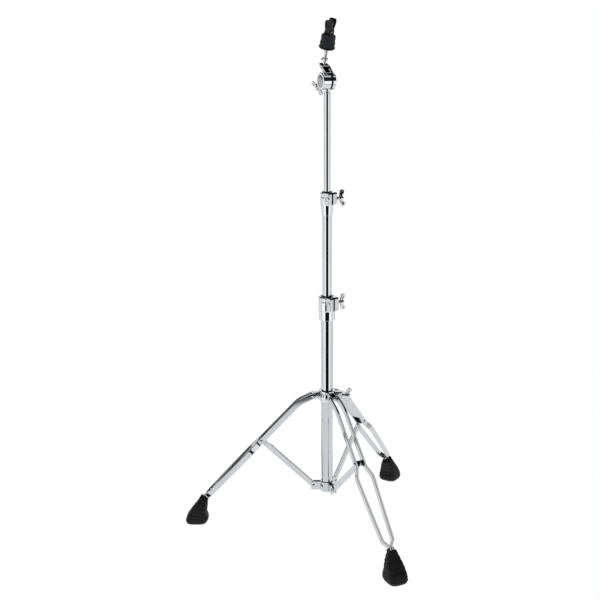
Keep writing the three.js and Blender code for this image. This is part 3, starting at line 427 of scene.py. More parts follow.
def bump(tree, height, strength, depth):
    node = add(tree, "ShaderNodeBump", {"Height": height, "Strength": strength, "Distance": depth * METRES})
    return node.outputs["Normal"]


def grey(value):
    return (value, value, value, 1)


def blended(tree, kind, first, second):
    return add(tree, "ShaderNodeMix", {"Factor": 1, 6: first, 7: second}, data_type="RGBA", blend_type=kind,
               clamp_result=True).outputs[2]


def computed(tree, operation, first, second):
    return add(tree, "ShaderNodeMath", {0: first, 1: second}, operation=operation).outputs[0]


def material(name):
    made = bpy.data.materials.new(name)
    made.use_nodes = True
    tree = made.node_tree
    return made, tree, tree.nodes["Principled BSDF"]


def surface(name, colours, roughness, patches, grain, relief, inputs, full=0.7):
    """A material whose colour and roughness drift in patches, under a fine relief.

    Patches and grain are (millimetres, detail, stretch), relief is (strength, millimetres), and full is the
    drift at which the second colour is reached.
    """
    made, tree, shader = material(name)
    drift = noise_value(tree, *patches)
    darker, lighter = (linear(code) for code in colours)
    fill(tree, shader, {
        "Base Color": ramp(tree, drift, [(0.3, darker), (full, lighter)]),
        "Roughness": between(tree, drift, *roughness),
        "Normal": bump(tree, noise_value(tree, *grain), *relief),
        **inputs,
    })
    return made


# Dark pressed wool felt: matted fibres, mottled charcoal
def wool_felt():
    made, tree, shader = material("pressed wool felt")
    fibres = noise_value(tree, 0.5, 5, (1, 1, 2.5))
    mottle = noise_value(tree, 3.5, 4)
    base = ramp(tree, mottle, [(0.3, linear("#1B1C22")), (0.7, linear("#2B2C34"))])
    flecks = ramp(tree, fibres, [(0.35, grey(0.6)), (0.75, (1.5, 1.5, 1.55, 1))])
    fill(tree, shader, {
        "Base Color": blended(tree, "MULTIPLY", base, flecks), "Roughness": 0.95, "Specular IOR Level": 0.15,
        "Sheen Weight": 0.2, "Sheen Roughness": 0.5, "Normal": bump(tree, fibres, 0.7, 0.35),
    })
    return made


PLATED = {"Metallic": 1}
POLYMER = {"Specular IOR Level": 0.3}
# Bright chromium plate on drawn steel tube and rod: a mirror with faint lengthwise draw lines
TUBE = surface("chromed drawn steel", ("#C6C9CC", "#CDCFD1"), (0.02, 0.04), (35, 3), (1.2, 2, (1, 1, 0.02)),
               (0.05, 0.05), PLATED)
# Chromium plate on zinc castings: a little orange peel under the mirror
CASTING = surface("chromed zinc casting", ("#D3D5D7", "#DCDDDE"), (0.03, 0.07), (18, 3), (3.2, 2), (0.12, 0.08),
                  PLATED)
# Painted shade: near-black, with a streaky relief, on clamp slot walls, in the cover's groove and on rivet heads'
# middles
PAINTED_SHADE = surface("painted shade", ("#0B0B0C", "#1E1F21"), (0.6, 0.8), (5, 3), (0.8, 2, (1, 1, 6)), (0.3, 0.05),
               {"Metallic": 0.6})
# Satin nickel on a pressed cover: a fine even grain
SATIN = surface("satin nickel plate", ("#A2A4A6", "#ACAEB0"), (0.22, 0.3), (14, 3), (0.3, 2), (0.2, 0.02), PLATED)
# Chromium plate on stamped steel strip: rolled flat, with a soft waviness
STRIP = surface("chromed stamped steel", ("#C5C8CB", "#CED0D2"), (0.07, 0.14), (24, 3), (9, 2), (0.12, 0.12),
                PLATED)
# Black moulded nylon: fine spark texture and a soft sheen
NYLON = surface("black moulded nylon", ("#0C0D0F", "#141518"), (0.34, 0.46), (12, 3), (0.35, 2), (0.25, 0.03),
                POLYMER)
# Black moulded rubber: matt, with a dusty bloom
RUBBER = surface("black moulded rubber", ("#0E0E0F", "#19191A"), (0.55, 0.72), (15, 4), (0.6, 3), (0.3, 0.05),
                 POLYMER, full=0.72)
WOOL = wool_felt()


# Tubes and rod

def tube(sizes, low, high):
    return pipe(sizes.radius - sizes.wall, sizes.radius, low, high, 0.5, 128)


def add_tubes():
    piece("base_tube_shell", tube(BASE_TUBE, base_bottom, base_top), STAND, TUBE, "base", "base_tube")
    middle = tube(MIDDLE_TUBE, base_top - MIDDLE_TUBE.inserted, middle_top)
    piece("middle_tube_shell", middle, STAND, TUBE, "middle", "middle_tube")
    top = tube(TOP_TUBE, middle_top - TOP_TUBE.inserted, top_tube_top)
    piece("top_tube_shell", top, STAND, TUBE, "top", "top_tube")
    high = base_bottom - GAP
    low = high - PLUG.rim
    inner = BASE_TUBE.radius - BASE_TUBE.wall - GAP
    plug = spun([(0, low), (BASE_TUBE.radius - PLUG.rim, low, 1.2), (BASE_TUBE.radius, high, 0.4),
                 (inner, high), (inner, high + PLUG.length, 1), (0, high + PLUG.length)])
    piece("end_plug", plug, STAND, NYLON, "base", "base_plug", slot="nylon")


# Legs

def rounded_section(half_width, half_thickness, corner):
    """The corners of a strip's section, rounded, as (across, along the thickness)."""
    corner = min(corner, 0.9 * half_width, 0.9 * half_thickness)
    points = []
    for k, (x, y) in enumerate(((1, 1), (-1, 1), (-1, -1), (1, -1))):
        for step in range(5):
            angle = math.radians(90 * k + 22.5 * step)
            points.append((x * (half_width - corner) + corner * math.cos(angle),
                           y * (half_thickness - corner) + corner * math.sin(angle)))
    return points


def strip_ring(point, tangent, half_width):
    side = Vector((0, 1, 0)) - tangent * tangent.y
    side.normalize()
    normal = side.cross(tangent)
    section = rounded_section(half_width, BAR.thickness / 2, BAR.edge)
    return [point + normal * across + side * through for across, through in section]


def route(corners, bends, steps=12):
    """Stations of a path with round bends, as (point, direction)."""
    made = [(corners[0], (corners[1] - corners[0]).normalized())]
    for i, bend in enumerate(bends, 1):
        before, here, after = corners[i - 1], corners[i], corners[i + 1]
        start = here.lerp(before, bend / (here - before).length)
        end = here.lerp(after, bend / (here - after).length)
        for k in range(steps + 1):
            share = k / steps
            first, second = start.lerp(here, share), here.lerp(end, share)
            made.append((first.lerp(second, share), (second - first).normalized()))
    made.append((corners[-1], (corners[-1] - corners[-2]).normalized()))
    return made


def shoulder_point(spread):
    top_run, main_run = math.tan(math.radians(SHOULDER_SLOPE)), math.tan(math.radians(LEG_SLOPE))
    drop = pivot_height + main_run * pivot_radius - collar_height - top_run * HINGE_RADIUS
    reach = drop / (main_run - top_run)
    return Vector((reach, spread, collar_height - top_run * (reach - HINGE_RADIUS)))


def leg_bar(side):
    shut_spread = BAR.thickness / 2 + GAP / 2
    shut_at = clip_distance - BAR.close_bend
    corners = [
        Vector((HINGE_RADIUS, side * BAR.top_spread, collar_height)),
        shoulder_point(side * (BAR.top_spread + BAR.middle_spread) / 2),
        on_leg(BAR.jog_start, side * BAR.middle_spread),
        on_leg(BAR.jog_start + BAR.jog_length, side * BAR.wide_spread),
        on_leg(shut_at - BAR.close_length, side * BAR.low_spread),
        on_leg(shut_at, side * shut_spread),
        on_leg(foot_distance + BAR.end_length, side * shut_spread),
    ]
    bends = [SHOULDER_BEND, BAR.jog_start / 2, BAR.jog_bend / 2, BAR.close_bend, BAR.close_bend]
    stations = route(corners, bends)
    start, direction = stations[0]
    radius = BAR.width / 2
    rings = []
    for degrees in (6, 14, 24, 36, 50, 66, 80):
        angle = math.radians(degrees)
        rings.append(strip_ring(start - direction * radius * math.cos(angle), direction, radius * math.sin(angle)))
    rings += [strip_ring(point, tangent, radius) for point, tangent in stations]
    return lofted(rings)


def rivet(reach):
    """A rivet along Y with a domed head on each outer face."""
    seat = reach + SEATED
    outer = seat + PIN.height
    side = [(PIN.radius, seat, 0.1), (PIN.head, seat, 0.4), (PIN.head - 0.5, seat + 0.55 * PIN.height, 1),
            (PIN.head * 0.45, outer, 1.2)]
    points = [(0, -outer)] + [(p[0], -p[1], *p[2:]) for p in reversed(side)] + side + [(0, outer)]
    return along_y(spun(points, 0.3, steps=48))


def stay_channel():
    radius = STAY.width / 2
    outline = arc(0, 0, radius, 90, 270, 20) + arc(ARM_LENGTH, 0, radius, -90, 90, 20)
    body = slab(outline, STAY.thickness, 0.7)
    channel_end = ARM_LENGTH - STAY.tongue_length - STAY.inset
    half = STAY.thickness / 2 - STAY.wall
    channel = box(STAY.inset, channel_end, -half, half, STAY.web - radius, 2 * radius)
    side = STAY.tongue / 2
    reach = ARM_LENGTH + 2 * STAY.width
    low = ARM_LENGTH - STAY.tongue_length
    reliefs = [box(low, reach, side, 2 * STAY.thickness, -2 * radius, 2 * radius),
               box(low, reach, -2 * STAY.thickness, -side, -2 * radius, 2 * radius)]
    return soften(carved(body, channel, *reliefs), 0.35, 2, 50)


# The foot's outline from top to sole, in shares of its length and height: heel, toe and width
FOOT_SHARES = [
    ((0.03, 0.6), (0.48, 0.77), 0.68),
    ((0.07, 0.37), (0.73, 0.51), 0.88),
    ((0, 0.19), (0.93, 0.27), 0.98),
    ((0.01, 0.09), (1, 0.1), 1),
    ((0.09, 0), (0.96, 0), 0.9),
]


def foot_stations():
    top = on_leg(foot_distance)
    middle = Vector((top.x, top.z))
    across = Vector((-leg_down.z, leg_down.x)) * FOOT.top_depth / 2
    inner = top.x - FOOT.top_offset
    stations = [(middle - across, middle + across, FOOT.top_width)]
    for heel, toe, width in FOOT_SHARES:
        place = [Vector((inner + x * FOOT.length, z * FOOT.height)) for x, z in (heel, toe)]
        stations.append((*place, width * FOOT.width))
    return stations


def rubber_foot():
    stations = foot_stations()
    spans = len(stations) - 1
    rings = []
    count, corners = 56, 40
    for i in range(count + 1):
        share = i / count
        index = min(int(share * spans), spans - 1)
        part = share * spans - index
        heel = stations[index][0].lerp(stations[index + 1][0], part)
        toe = stations[index][1].lerp(stations[index + 1][1], part)
        width = stations[index][2] * (1 - part) + stations[index + 1][2] * part
        wave = max(0, math.cos(math.tau * share * FOOT.ribs))
        rib = FOOT.rib_depth * wave if FOOT.ribs_from < share < FOOT.ribs_to else 0
        centre, along = (heel + toe) / 2, (toe - heel) / 2
        along = along.normalized() * (along.length - rib)
        ring = []
        for u, v in arc(0, 0, 1, 0, 360, corners)[:-1]:
            u, v = (math.copysign(abs(value) ** FOOT.squareness, value) for value in (u, v))
            ring.append(Vector((centre.x + along.x * u, v * (width / 2 - rib), centre.y + along.y * u)))
        rings.append(ring)
    return soften(lofted(rings), 1, 2, 60)


def neck_clip():
    """A slim clip over the bars' ends, open on the side away from the floor."""
    inner = BAR.thickness + GAP / 2 + GAP
    high = BAR.width / 2
    low = -high - GAP
    outer = inner + CLIP.wall
    outline = [(-inner, high), (-outer, high), (-outer, low - CLIP.wall), (outer, low - CLIP.wall),
               (outer, high), (inner, high), (inner, low), (-inner, low)]
    clip = slab(fillet(outline, 0.6, closed=True, steps=3), CLIP.length, 0.3, 2)
    return moved(clip, turn("Z", 90), at(CLIP.length / 2))


# Picks the middle of a rivet head's outer face, which is painted dark as shade.
def shaded_rivet_middle(centre, normal):
    return math.hypot(centre.x, centre.z) < 0.4 * PIN.head and abs(normal.y) > FACING


def add_legs():
    half = BAR.thickness / 2
    near, far = STAY.tongue / 2 + GAP, BAR.middle_spread - half - GAP
    for index, name in enumerate(LEGS):
        here = STAND @ leg_turn(index)
        pivot = here @ at(pivot_radius, 0, pivot_height)
        hinge = here @ at(HINGE_RADIUS, 0, BRACKET_HEIGHT)
        leg = f"leg_{name}"
        for letter, side in (("a", 1), ("b", -1)):
            piece(f"strip_{name}_{letter}", leg_bar(side), here, STRIP, leg, f"leg_bar_{name}_{letter}")
        place = hinge @ turn("Y", ARM_ANGLE - 90)
        piece(f"brace_{name}", stay_channel(), place, STRIP, f"stay_{name}", f"stay_{name}")
        for pin, reach, place, body in (
            ("top", BAR.top_spread + half, here @ at(HINGE_RADIUS, 0, collar_height), leg),
            ("mid", BAR.middle_spread + half, pivot, leg),
            ("low", STAY.thickness / 2 + GAP + BRACKET.ear_wall, hinge, "base"),
        ):
            piece(f"{pin}_rivet_{name}", rivet(reach), place, STRIP, body, f"{pin}_pin_{name}", shade_test=shaded_rivet_middle)
        for letter, spin in (("a", 0), ("b", 180)):
            ring = along_y(pipe(PIN.radius + GAP, SPACER_RADIUS, near, far, 0.5, 64))
            piece(f"washer_{name}_{letter}", moved(ring, turn("X", spin)), pivot, NYLON, leg,
                  f"spacer_{name}_{letter}", slot="nylon")
        down = here @ Matrix.Translation(on_leg(clip_distance)) @ turn("Y", LEG_SLOPE)
        piece(f"clip_{name}", neck_clip(), down, RUBBER, leg, f"neck_{name}", slot="rubber")
        piece(f"rubber_foot_{name}", rubber_foot(), here, RUBBER, leg, f"foot_{name}", slot="rubber")


# Bracket and collar on the base tube

def bracket_body():
    bore = BASE_TUBE.radius + CLOSE
    outer = BASE_TUBE.radius + GAP + BRACKET.wall
    low, high = BRACKET_HEIGHT - BRACKET.height / 2, BRACKET_HEIGHT + BRACKET.height / 2
    reach, root = HINGE_RADIUS + BRACKET.ear_reach, bore - 2
    bottom, top = BRACKET_HEIGHT - BRACKET.ear_height / 2, BRACKET_HEIGHT + BRACKET.ear_height / 2
    outline = fillet([(root, bottom), (reach, bottom, 2.5), (reach, top, BRACKET.ear_corner), (root, top)], 0,
                     closed=True, steps=8)
    offset = STAY.thickness / 2 + GAP + BRACKET.ear_wall / 2
    ears = [moved(slab(outline, BRACKET.ear_wall, 0.35, 2), at(0, side * offset), leg_turn(index))
            for index in range(3) for side in (1, -1)]
    body = joined(round_bar(outer, low, high, 0.5), *ears)
    return carved(body, round_bar(bore, low - PAST, high + PAST, 0))


def collar_body():
    outer = BASE_TUBE.radius + GAP + COLLAR.wall
    low, high = collar_height - COLLAR.height / 2, collar_height + COLLAR.height / 2
    lip, under = outer + COLLAR.lip, high - COLLAR.lip_height
    ring = spun([(0, low), (outer, low, 1.2), (outer, low + COLLAR.waist_low, 0.6),
                 (outer - COLLAR.waist, low + COLLAR.waist_high, 0.3), (outer, low + COLLAR.waist_end, 0.3),
                 (outer, under - COLLAR.lip, 0.3), (lip, under, 0.6), (lip, high, 1), (0, high)])
    half = COLLAR.lug_root / 2
    tongue = arc(HINGE_RADIUS, 0, COLLAR.lug_radius, -70, 70, 16)
    outline = [(COLLAR.root, -half), (outer, -half), *tongue, (outer, half), (COLLAR.root, half)]
    depth = 2 * (BAR.top_spread - BAR.thickness / 2 - GAP)
    lugs = [moved(slab(outline, depth, 1, 3), at(0, 0, collar_height), leg_turn(index)) for index in range(3)]
    width, height = COLLAR.boss_width / 2, COLLAR.boss_height / 2
    outline = fillet([(-width, -height), (width, -height), (width, height), (-width, height)], 3.2, True, 6)
    boss = slab(outline, COLLAR.boss_reach - COLLAR.root, 1, 3)
    boss = moved(boss, turn("Z", 90), at((COLLAR.boss_reach + COLLAR.root) / 2, 0, collar_height))
    return carved(joined(ring, *lugs, boss), round_bar(BASE_TUBE.radius + FREE, low - PAST, high + PAST, 0))


def add_base_fittings():
    piece("bracket_shell", bracket_body(), STAND, STRIP, "base", "lower_bracket")
    seat = BASE_TUBE.radius + GAP + BRACKET.wall
    size = BRACKET_SCREW
    screw = spun([(0, seat - size.reach), (size.radius, seat - size.reach), (size.radius, seat), (size.head, seat),
                  (size.head, seat + size.height, 1.4), (0, seat + size.height)], 0.3, steps=48)
    cross = [moved(box(seat + size.floor, seat + size.reach, -size.arm, size.arm, -size.cross, size.cross),
                   turn("X", 90 * k)) for k in range(2)]
    screw = carved(along_x(screw), *cross)
    place = STAND @ turn("Z", size.azimuth) @ at(z=BRACKET_HEIGHT)
    piece("screw_head", screw, place, CASTING, "base", "bracket_screw")
    piece("collar_shell", collar_body(), STAND, CASTING, "collar", "collar")


# Wing bolts

def bezier(a, b, c, d, steps=10):
    made = []
    for k in range(1, steps + 1):
        t = k / steps
        u = 1 - t
        made.append(tuple(u ** 3 * p + 3 * u * u * t * q + 3 * u * t * t * r + t ** 3 * s
                          for p, q, r, s in zip(a, b, c, d)))
    return made


def wing_bolt(shank):
    hub_end = WING.stem + WING.hub_length
    spine = along_x(spun([
        (0, -shank), (WING.shank, -shank, 0.6), (WING.shank, 0.1), (WING.collar, 0.1, 0.3),
        (WING.collar, WING.collar_height, 0.6), (WING.stem_radius, WING.collar_height, 0.5),
        (WING.stem_radius, WING.stem, 1.5), (WING.hub, WING.stem + WING.sweep / 2, 2),
        (WING.hub, hub_end - WING.sweep, 3), (WING.hub_tip, hub_end, 1.6), (0, hub_end),
    ], 0.3, steps=64))
    root = WING.stem + WING.sweep / 2
    tip = WING.stem + WING.sweep
    far = tip + WING.lobe_width
    peak = WING.span + WING.sweep / 2
    high = WING.span - WING.lobe_width / 2
    outline = [(root, 0)]
    outline += bezier((root, 0), (root, WING.lobe_root), (root, WING.lobe_root), (tip, high))
    outline += bezier((tip, high), (tip, peak), (far, peak), (far, high), 18)
    outline += bezier((far, high), (far, WING.lobe_root), (hub_end - WING.sweep, WING.lobe_root),
                      (hub_end - WING.sweep, 0))
    lobes = [slab(outline, WING.root_thickness, 1.1, 4) for _ in range(2)]
    for lobe in lobes:
        for vert in lobe.verts:
            share = vert.co.z / WING.span
            vert.co.y *= 1 - share + share * WING.tip_thickness / WING.root_thickness
    moved(lobes[1], turn("X", 180))
    middle = ((root + far) / 2, 0.62 * WING.span)
    hollow = [tuple(m + WING.hollow * (p - m) for p, m in zip(point, middle)) for point in outline[1:-1]]
    hollows = []
    for spin in (0, 180):
        for side in (1, -1):
            cut = moved(slab(hollow, WING.span, 0.5, 2), at(0, side * (WING.span / 2 + WING.web / 2)))
            hollows.append(moved(cut, turn("X", spin)))
    return carved(joined(spine, *lobes), *hollows)


def add_wing_bolts():
    bolts = {"collar": (STAND @ at(COLLAR.boss_reach, 0, collar_height) @ turn("X", COLLAR.wing_spin),
                        COLLAR.boss_reach - BASE_TUBE.radius - 2 * GAP)}
    for which, clamp in CLAMPS.items():
        place = clamp.place @ at(clamp.bolt_reach, clamp_face, clamp.bolt_height) @ turn("Z", 90)
        bolts[which] = (place @ turn("X", clamp.wing_spin), 2 * clamp_face - CLAMP.recess + CLAMP.nut_height)
    bolts["tilter"] = (BRAKE_FRAME @ at(0, BRAKE.reach) @ turn("Z", 90) @ turn("X", BRAKE.spin),
                       BRAKE.reach - TILTER.spindle - 2 * GAP)
    for name, (place, shank) in bolts.items():
        piece(f"{name}_wing", wing_bolt(shank), place, CASTING, f"{name}_wing_bolt", f"{name}_wing_bolt")


# Clamp castings

def clamp_casting(clamp):
    head = clamp.head
    sleeve = clamp.outer.radius + GAP + clamp.wall
    wide, waist_top = sleeve + CLAMP.flange, head - CLAMP.flange_height
    ring = spun([
        (0, -clamp.sleeve), (sleeve - clamp.taper, -clamp.sleeve, 0.8), (sleeve, 0, 0.5), (sleeve, GAP, 1),
        (wide, CLAMP.shoulder, 1.5), (wide, waist_top - CLAMP.waist_height, 3),
        (wide - CLAMP.waist, waist_top - CLAMP.waist_height / 2, 3), (wide, waist_top, 1),
        (wide, head - CLAMP.crown, 1), (wide - CLAMP.crown, head, 1), (0, head),
    ], 0.5)
    end = sleeve + CLAMP.end - clamp.taper
    outline = fillet([(0, CLAMP.shoulder, 0), (end, CLAMP.shoulder), (end, head), (0, head, 0)], CLAMP.corner,
                     True, 8)
    lug = slab(outline, 2 * CLAMP.half_width, CLAMP.edge, 4)
    across = at(clamp.bolt_reach, 0, clamp.bolt_height)
    bosses = [round_bar(CLAMP.boss, CLAMP.half_width - CLAMP.boss_depth, clamp_face, 0.8) for _ in range(2)]
    bosses = [moved(along_y(boss), turn("Z", spin), across) for boss, spin in zip(bosses, (0, 180))]
    bolt_hole = moved(along_y(round_bar(WING.shank + GAP, -2 * clamp_face, 2 * clamp_face, 0)), across)
    nut_hole = round_bar(CLAMP.nut_radius + GAP, -2 * clamp_face, CLAMP.recess - clamp_face, 0, 6)
    slot = box(0, 2 * end, -CLAMP.slot / 2 - CLAMP.slot_shift, CLAMP.slot / 2 - CLAMP.slot_shift,
               CLAMP.shoulder, 2 * head)
    socket = round_bar(clamp.outer.radius + FREE, -clamp.sleeve - PAST, GAP, 0)
    return carved(joined(ring, lug, *bosses), socket, round_bar(clamp.bore, -1, head + PAST, 0), bolt_hole,
                  moved(along_y(nut_hole), across), slot)


def clamp_nut():
    nut = along_y(round_bar(CLAMP.nut_radius, 0, CLAMP.nut_height, 0.5, 6))
    return carved(nut, along_y(round_bar(WING.shank + SNUG, -PAST, 2 * CLAMP.nut_height, 0)))


def add_clamps():
    for which, clamp in CLAMPS.items():
        # Picks the walls of the clamp's slot, painted dark as shade.
        def shaded_slot_wall(centre, normal):
            in_slot = abs(centre.y + CLAMP.slot_shift) < 0.75 * CLAMP.slot and centre.x > clamp.bore / 2
            return in_slot and abs(normal.y) > FACING

        piece(f"{which}_casting", clamp_casting(clamp), clamp.place, CASTING, clamp.body, f"{which}_clamp",
              shade_test=shaded_slot_wall)
        drop = CLAMP.recess - clamp_face - CLAMP.nut_height - GAP
        place = clamp.place @ at(clamp.bolt_reach, drop, clamp.bolt_height)
        piece(f"{which}_nut", clamp_nut(), place, CASTING, clamp.body, f"{which}_clamp_nut")
        near, far = clamp.inner.radius + BUSHING.fit, clamp.inner.radius + GAP + BUSHING.wall
        rim, flange = clamp.head + GAP, far + BUSHING.flange
        top = rim + BUSHING.flange_height
        ring = spun([(near, GAP), (far, GAP), (far, rim, 0.05), (flange, rim, 0.3), (flange, top, 0.5),
                     (near, top, 0.4)], 0.2, closed=True)
        split = box(0, 2 * far, -BUSHING.split / 2, BUSHING.split / 2, -PAST, 2 * clamp.head)
        piece(f"{which}_sleeve", carved(ring, split), clamp.place, NYLON, f"{which}_bushing", f"{which}_bushing",
              slot="nylon")


# Tilter

def tilter_body():
    size = TILTER
    barrel = along_x(spun([(0, -size.left), (size.radius, -size.left, 1.6), (size.radius, size.groove_start, 0.9),
                           (0, size.groove_start)], 0.5))
    shelf = GAP - size.rise
    spigot = TOP_TUBE.radius - TOP_TUBE.wall - GAP
    neck_top = -math.sqrt(size.radius ** 2 - size.neck ** 2) + 2
    neck = spun([(0, shelf - size.spigot), (spigot, shelf - size.spigot, 0.6), (spigot, shelf, 0.05),
                 (size.ring, shelf, 0.8), (size.ring, shelf + size.ring_height, 1.2),
                 (size.neck, shelf + size.ring_height, 1), (size.neck, neck_top), (0, neck_top)], 0.3)
    neck = carved(neck, box(size.groove_start, 3 * size.radius, -3 * size.radius, 3 * size.radius,
                            -size.radius - ARM.clearance, size.radius))
    boss_place = at(-BRAKE.offset) @ turn("X", -BRAKE.angle)
    boss = moved(along_y(round_bar(BRAKE.radius, 0, BRAKE.reach, 0.9)), boss_place)
    screw = moved(along_y(round_bar(WING.shank + GAP, 0, BRAKE.reach + PAST, 0)), boss_place)
    spindle_end = size.spindle_length - groove_end
    hollow = along_x(round_bar(size.spindle + GAP, -spindle_end - GAP, 2 * size.radius, 0))
    seat = along_x(round_bar(size.plate + size.plate_fit, -2 * size.left, size.plate_depth - size.left, 0))
    return soften(carved(joined(barrel, neck, boss), hollow, seat, screw), 0.35, 2, 55)


def tilter_cover():
    left, plate = -TILTER.left, TILTER.plate
    points = [(0, left - TILTER.dome), (0.55 * plate, left - 0.75 * TILTER.dome), (0.8 * plate, left - 0.1, 0.6),
              (0.84 * plate, left + 0.25, 0.3), (0.88 * plate, left - 0.15, 0.5), (plate, left, 0.35),
              (plate, left + TILTER.plate_depth - GAP), (0, left + TILTER.plate_depth - GAP)]
    return along_x(spun(points, 1.2))


def tilt_arm():
    size = TILTER
    right = size.right
    disc = along_x(spun([(0, groove_end), (size.radius, groove_end, 0.9), (size.radius, right, 1.8), (0, right)]))
    left = -ARM.rod_offset - ARM.half
    root = groove_end + 1
    shoulder = -ARM.shoulder_in
    outline = fillet([
        (root, -ARM.foot), (right - 0.4, -ARM.foot), (right - 0.4, ARM.root_height, 4),
        (shoulder, ARM.height, ARM.corner), (left, ARM.height, ARM.corner), (left, ARM.height - ARM.slant),
        (-ARM.rod_offset + ROD.radius, size.radius), (root, size.radius / 2),
    ], 0, True, 6)
    web = slab(outline, 2 * ARM.half_depth, 1.4, 4)
    inset = ARM.inset
    low, high = size.radius + inset, ARM.height - 2 * inset
    pocket_outline = fillet([(right - 3 * inset, low), (shoulder - inset / 2, high), (shoulder - 2 * inset, high),
                             (shoulder - 2 * inset, low)], 1.2, True, 4)
    pockets = [moved(slab(pocket_outline, 2 * ARM.recess, 0.4, 2), at(0, side * ARM.half_depth))
               for side in (1, -1)]
    room = along_x(round_bar(size.radius + ARM.clearance, -4 * size.radius, groove_end + 0.4, 0.3, 128))
    spindle = along_x(round_bar(size.spindle, GAP + groove_end - size.spindle_length, right / 2, 0.5))
    socket = round_bar(ROD.radius + SNUG, ARM.height - ROD.socket, ARM.height + PAST, 0)
    body = joined(disc, carved(web, room, *pockets), spindle)
    return soften(carved(body, moved(socket, at(-ARM.rod_offset))), 0.4, 2, 55)


def add_tilter():
    piece("tilter_casting", tilter_body(), TILTER_FRAME, CASTING, "top", "tilter_housing")

    # Picks the faces of the cover's ring groove, painted dark as shade.
    def groove(centre, normal):
        return 0.79 < math.hypot(centre.y, centre.z) / TILTER.plate < 0.9 and normal.x < 0

    piece("cover_plate", tilter_cover(), TILTER_FRAME, SATIN, "top", "tilter_cover", shade_test=groove)
    washer = along_x(pipe(TILTER.spindle + GAP, TILTER.washer, TILTER.groove_start + GAP, groove_end - GAP))
    piece("brake_washer", washer, TILTER_FRAME, NYLON, "top", "friction_washer", slot="nylon")
    piece("arm_casting", tilt_arm(), TILT_FRAME, CASTING, "tilter_arm", "tilter_arm")
    face = TILTER.right + SEATED
    top = face + PIVOT_BOLT.height
    bolt = along_x(spun([(0, -PAST), (PIVOT_BOLT.radius, -PAST), (PIVOT_BOLT.radius, face),
                         (PIVOT_BOLT.head, face, 0.3), (PIVOT_BOLT.head, top, PIVOT_BOLT.corner), (0, top)], 0.3,
                        steps=64))
    bolt = carved(bolt, along_x(round_bar(PIVOT_BOLT.socket, face + PIVOT_BOLT.socket_floor, top + PAST, 0, 6)))
    piece("pivot_bolt_head", bolt, TILT_FRAME, CASTING, "tilter_arm", "pivot_bolt")


# Rod and what is stacked on it

def rod_body():
    """A plain shaft with a rolled thread from the seat to the tip."""
    low = ARM.height - ROD.socket
    high = low + ROD.length
    start = high - ROD.thread
    turns = int((ROD.thread - 3) / ROD.pitch)
    points = [(0, low), (ROD.radius, low, 0.5), (ROD.radius, start, 0.3)]
    for k in range(turns):
        z = start + 0.5 + k * ROD.pitch
        points += [(ROD.radius - ROD.thread_depth, z + 0.3 * ROD.pitch), (ROD.radius, z + 0.7 * ROD.pitch)]
    points += [(ROD.radius - 0.3, high - ROD.tip, 0.3), (ROD.radius - ROD.tip, high, 0.4), (0, high)]
    return spun(points, 0.12, steps=64)


def stop_collar():
    low = ARM.height + STOP.rise
    ring = pipe(ROD.radius + SNUG, STOP.radius, low, low + STOP.height, 0.6, 64)
    half = STOP.screw
    screw = soften(box(-STOP.radius - STOP.screw_reach, -STOP.screw_root, -half, half, -half, half), 0.35, 2)
    return joined(ring, moved(screw, at(0, 0, low + STOP.height / 2)))


def seat_body():
    bore = ROD.radius + CLOSE
    sleeve = ROD.radius + GAP + SEAT.sleeve_wall
    low, high = SEAT.height, seat_top
    return spun([
        (bore, low - SEAT.hub_height), (SEAT.hub, low - SEAT.hub_height, 1), (SEAT.hub, low, 0.3),
        (SEAT.radius - SEAT.dish, low, 0.8), (SEAT.radius, low + SEAT.dish, 0.8), (SEAT.radius, high, 0.5),
        (sleeve, high, 0.2), (sleeve, high + SEAT.sleeve, 0.4), (bore, high + SEAT.sleeve, 0.2),
    ], 0.3, closed=True)


def felt_ring(radius, seed):
    """A pressed felt washer with rounded edges and a slightly uneven skin."""
    bore = ROD.radius + GAP + SEAT.sleeve_wall + GAP
    high, edge, bore_edge = FELT.thickness, FELT.edge, FELT.bore_edge
    bm = spun([(bore, 0, bore_edge), (radius, 0, edge), (radius, high, edge), (bore, high, bore_edge)], 1,
              closed=True)
    long_edges = [e for e in bm.edges if e.calc_length() > 1.2]
    bmesh.ops.subdivide_edges(bm, edges=long_edges, cuts=6, use_grid_fill=True)
    bm.normal_update()
    for vert in bm.verts:
        where = vert.co + Vector((seed, 0, 0))
        vert.co += vert.normal * (0.16 * noise.noise(where / 1.7) + 0.18 * noise.noise(where / 6))
    return bm


def nut_core():
    core = spun([
        (0, 0), (NUT.flange, 0, 0.9), (NUT.flange, NUT.flange_height, 0.9), (NUT.core, NUT.flange_height, 1),
        (NUT.core, NUT.height, 1), (0, NUT.height)], 0.5)
    offset = PADDLE.root / 2 + GAP + NUT.cheek_wall / 2
    reach, low, high = NUT.cheek_reach, NUT.cheek_bottom, NUT.flange_height + NUT.cheek_height
    outline = fillet([(-reach, low, 1), (reach, low, 1), (reach, high, 4), (-reach, high, 4)], 1, True, 6)
    cheeks = [moved(slab(outline, NUT.cheek_wall, 0.4, 3), at(0, side * offset)) for side in (1, -1)]
    pins = [moved(along_y(round_bar(NUT.pin, -offset, offset, 0.2, 32)), at(side * PADDLE.offset, 0, paddle_hinge))
            for side in (1, -1)]
    return carved(joined(core, *cheeks, *pins), round_bar(ROD.radius + CLOSE, -PAST, NUT.height + PAST, 0))


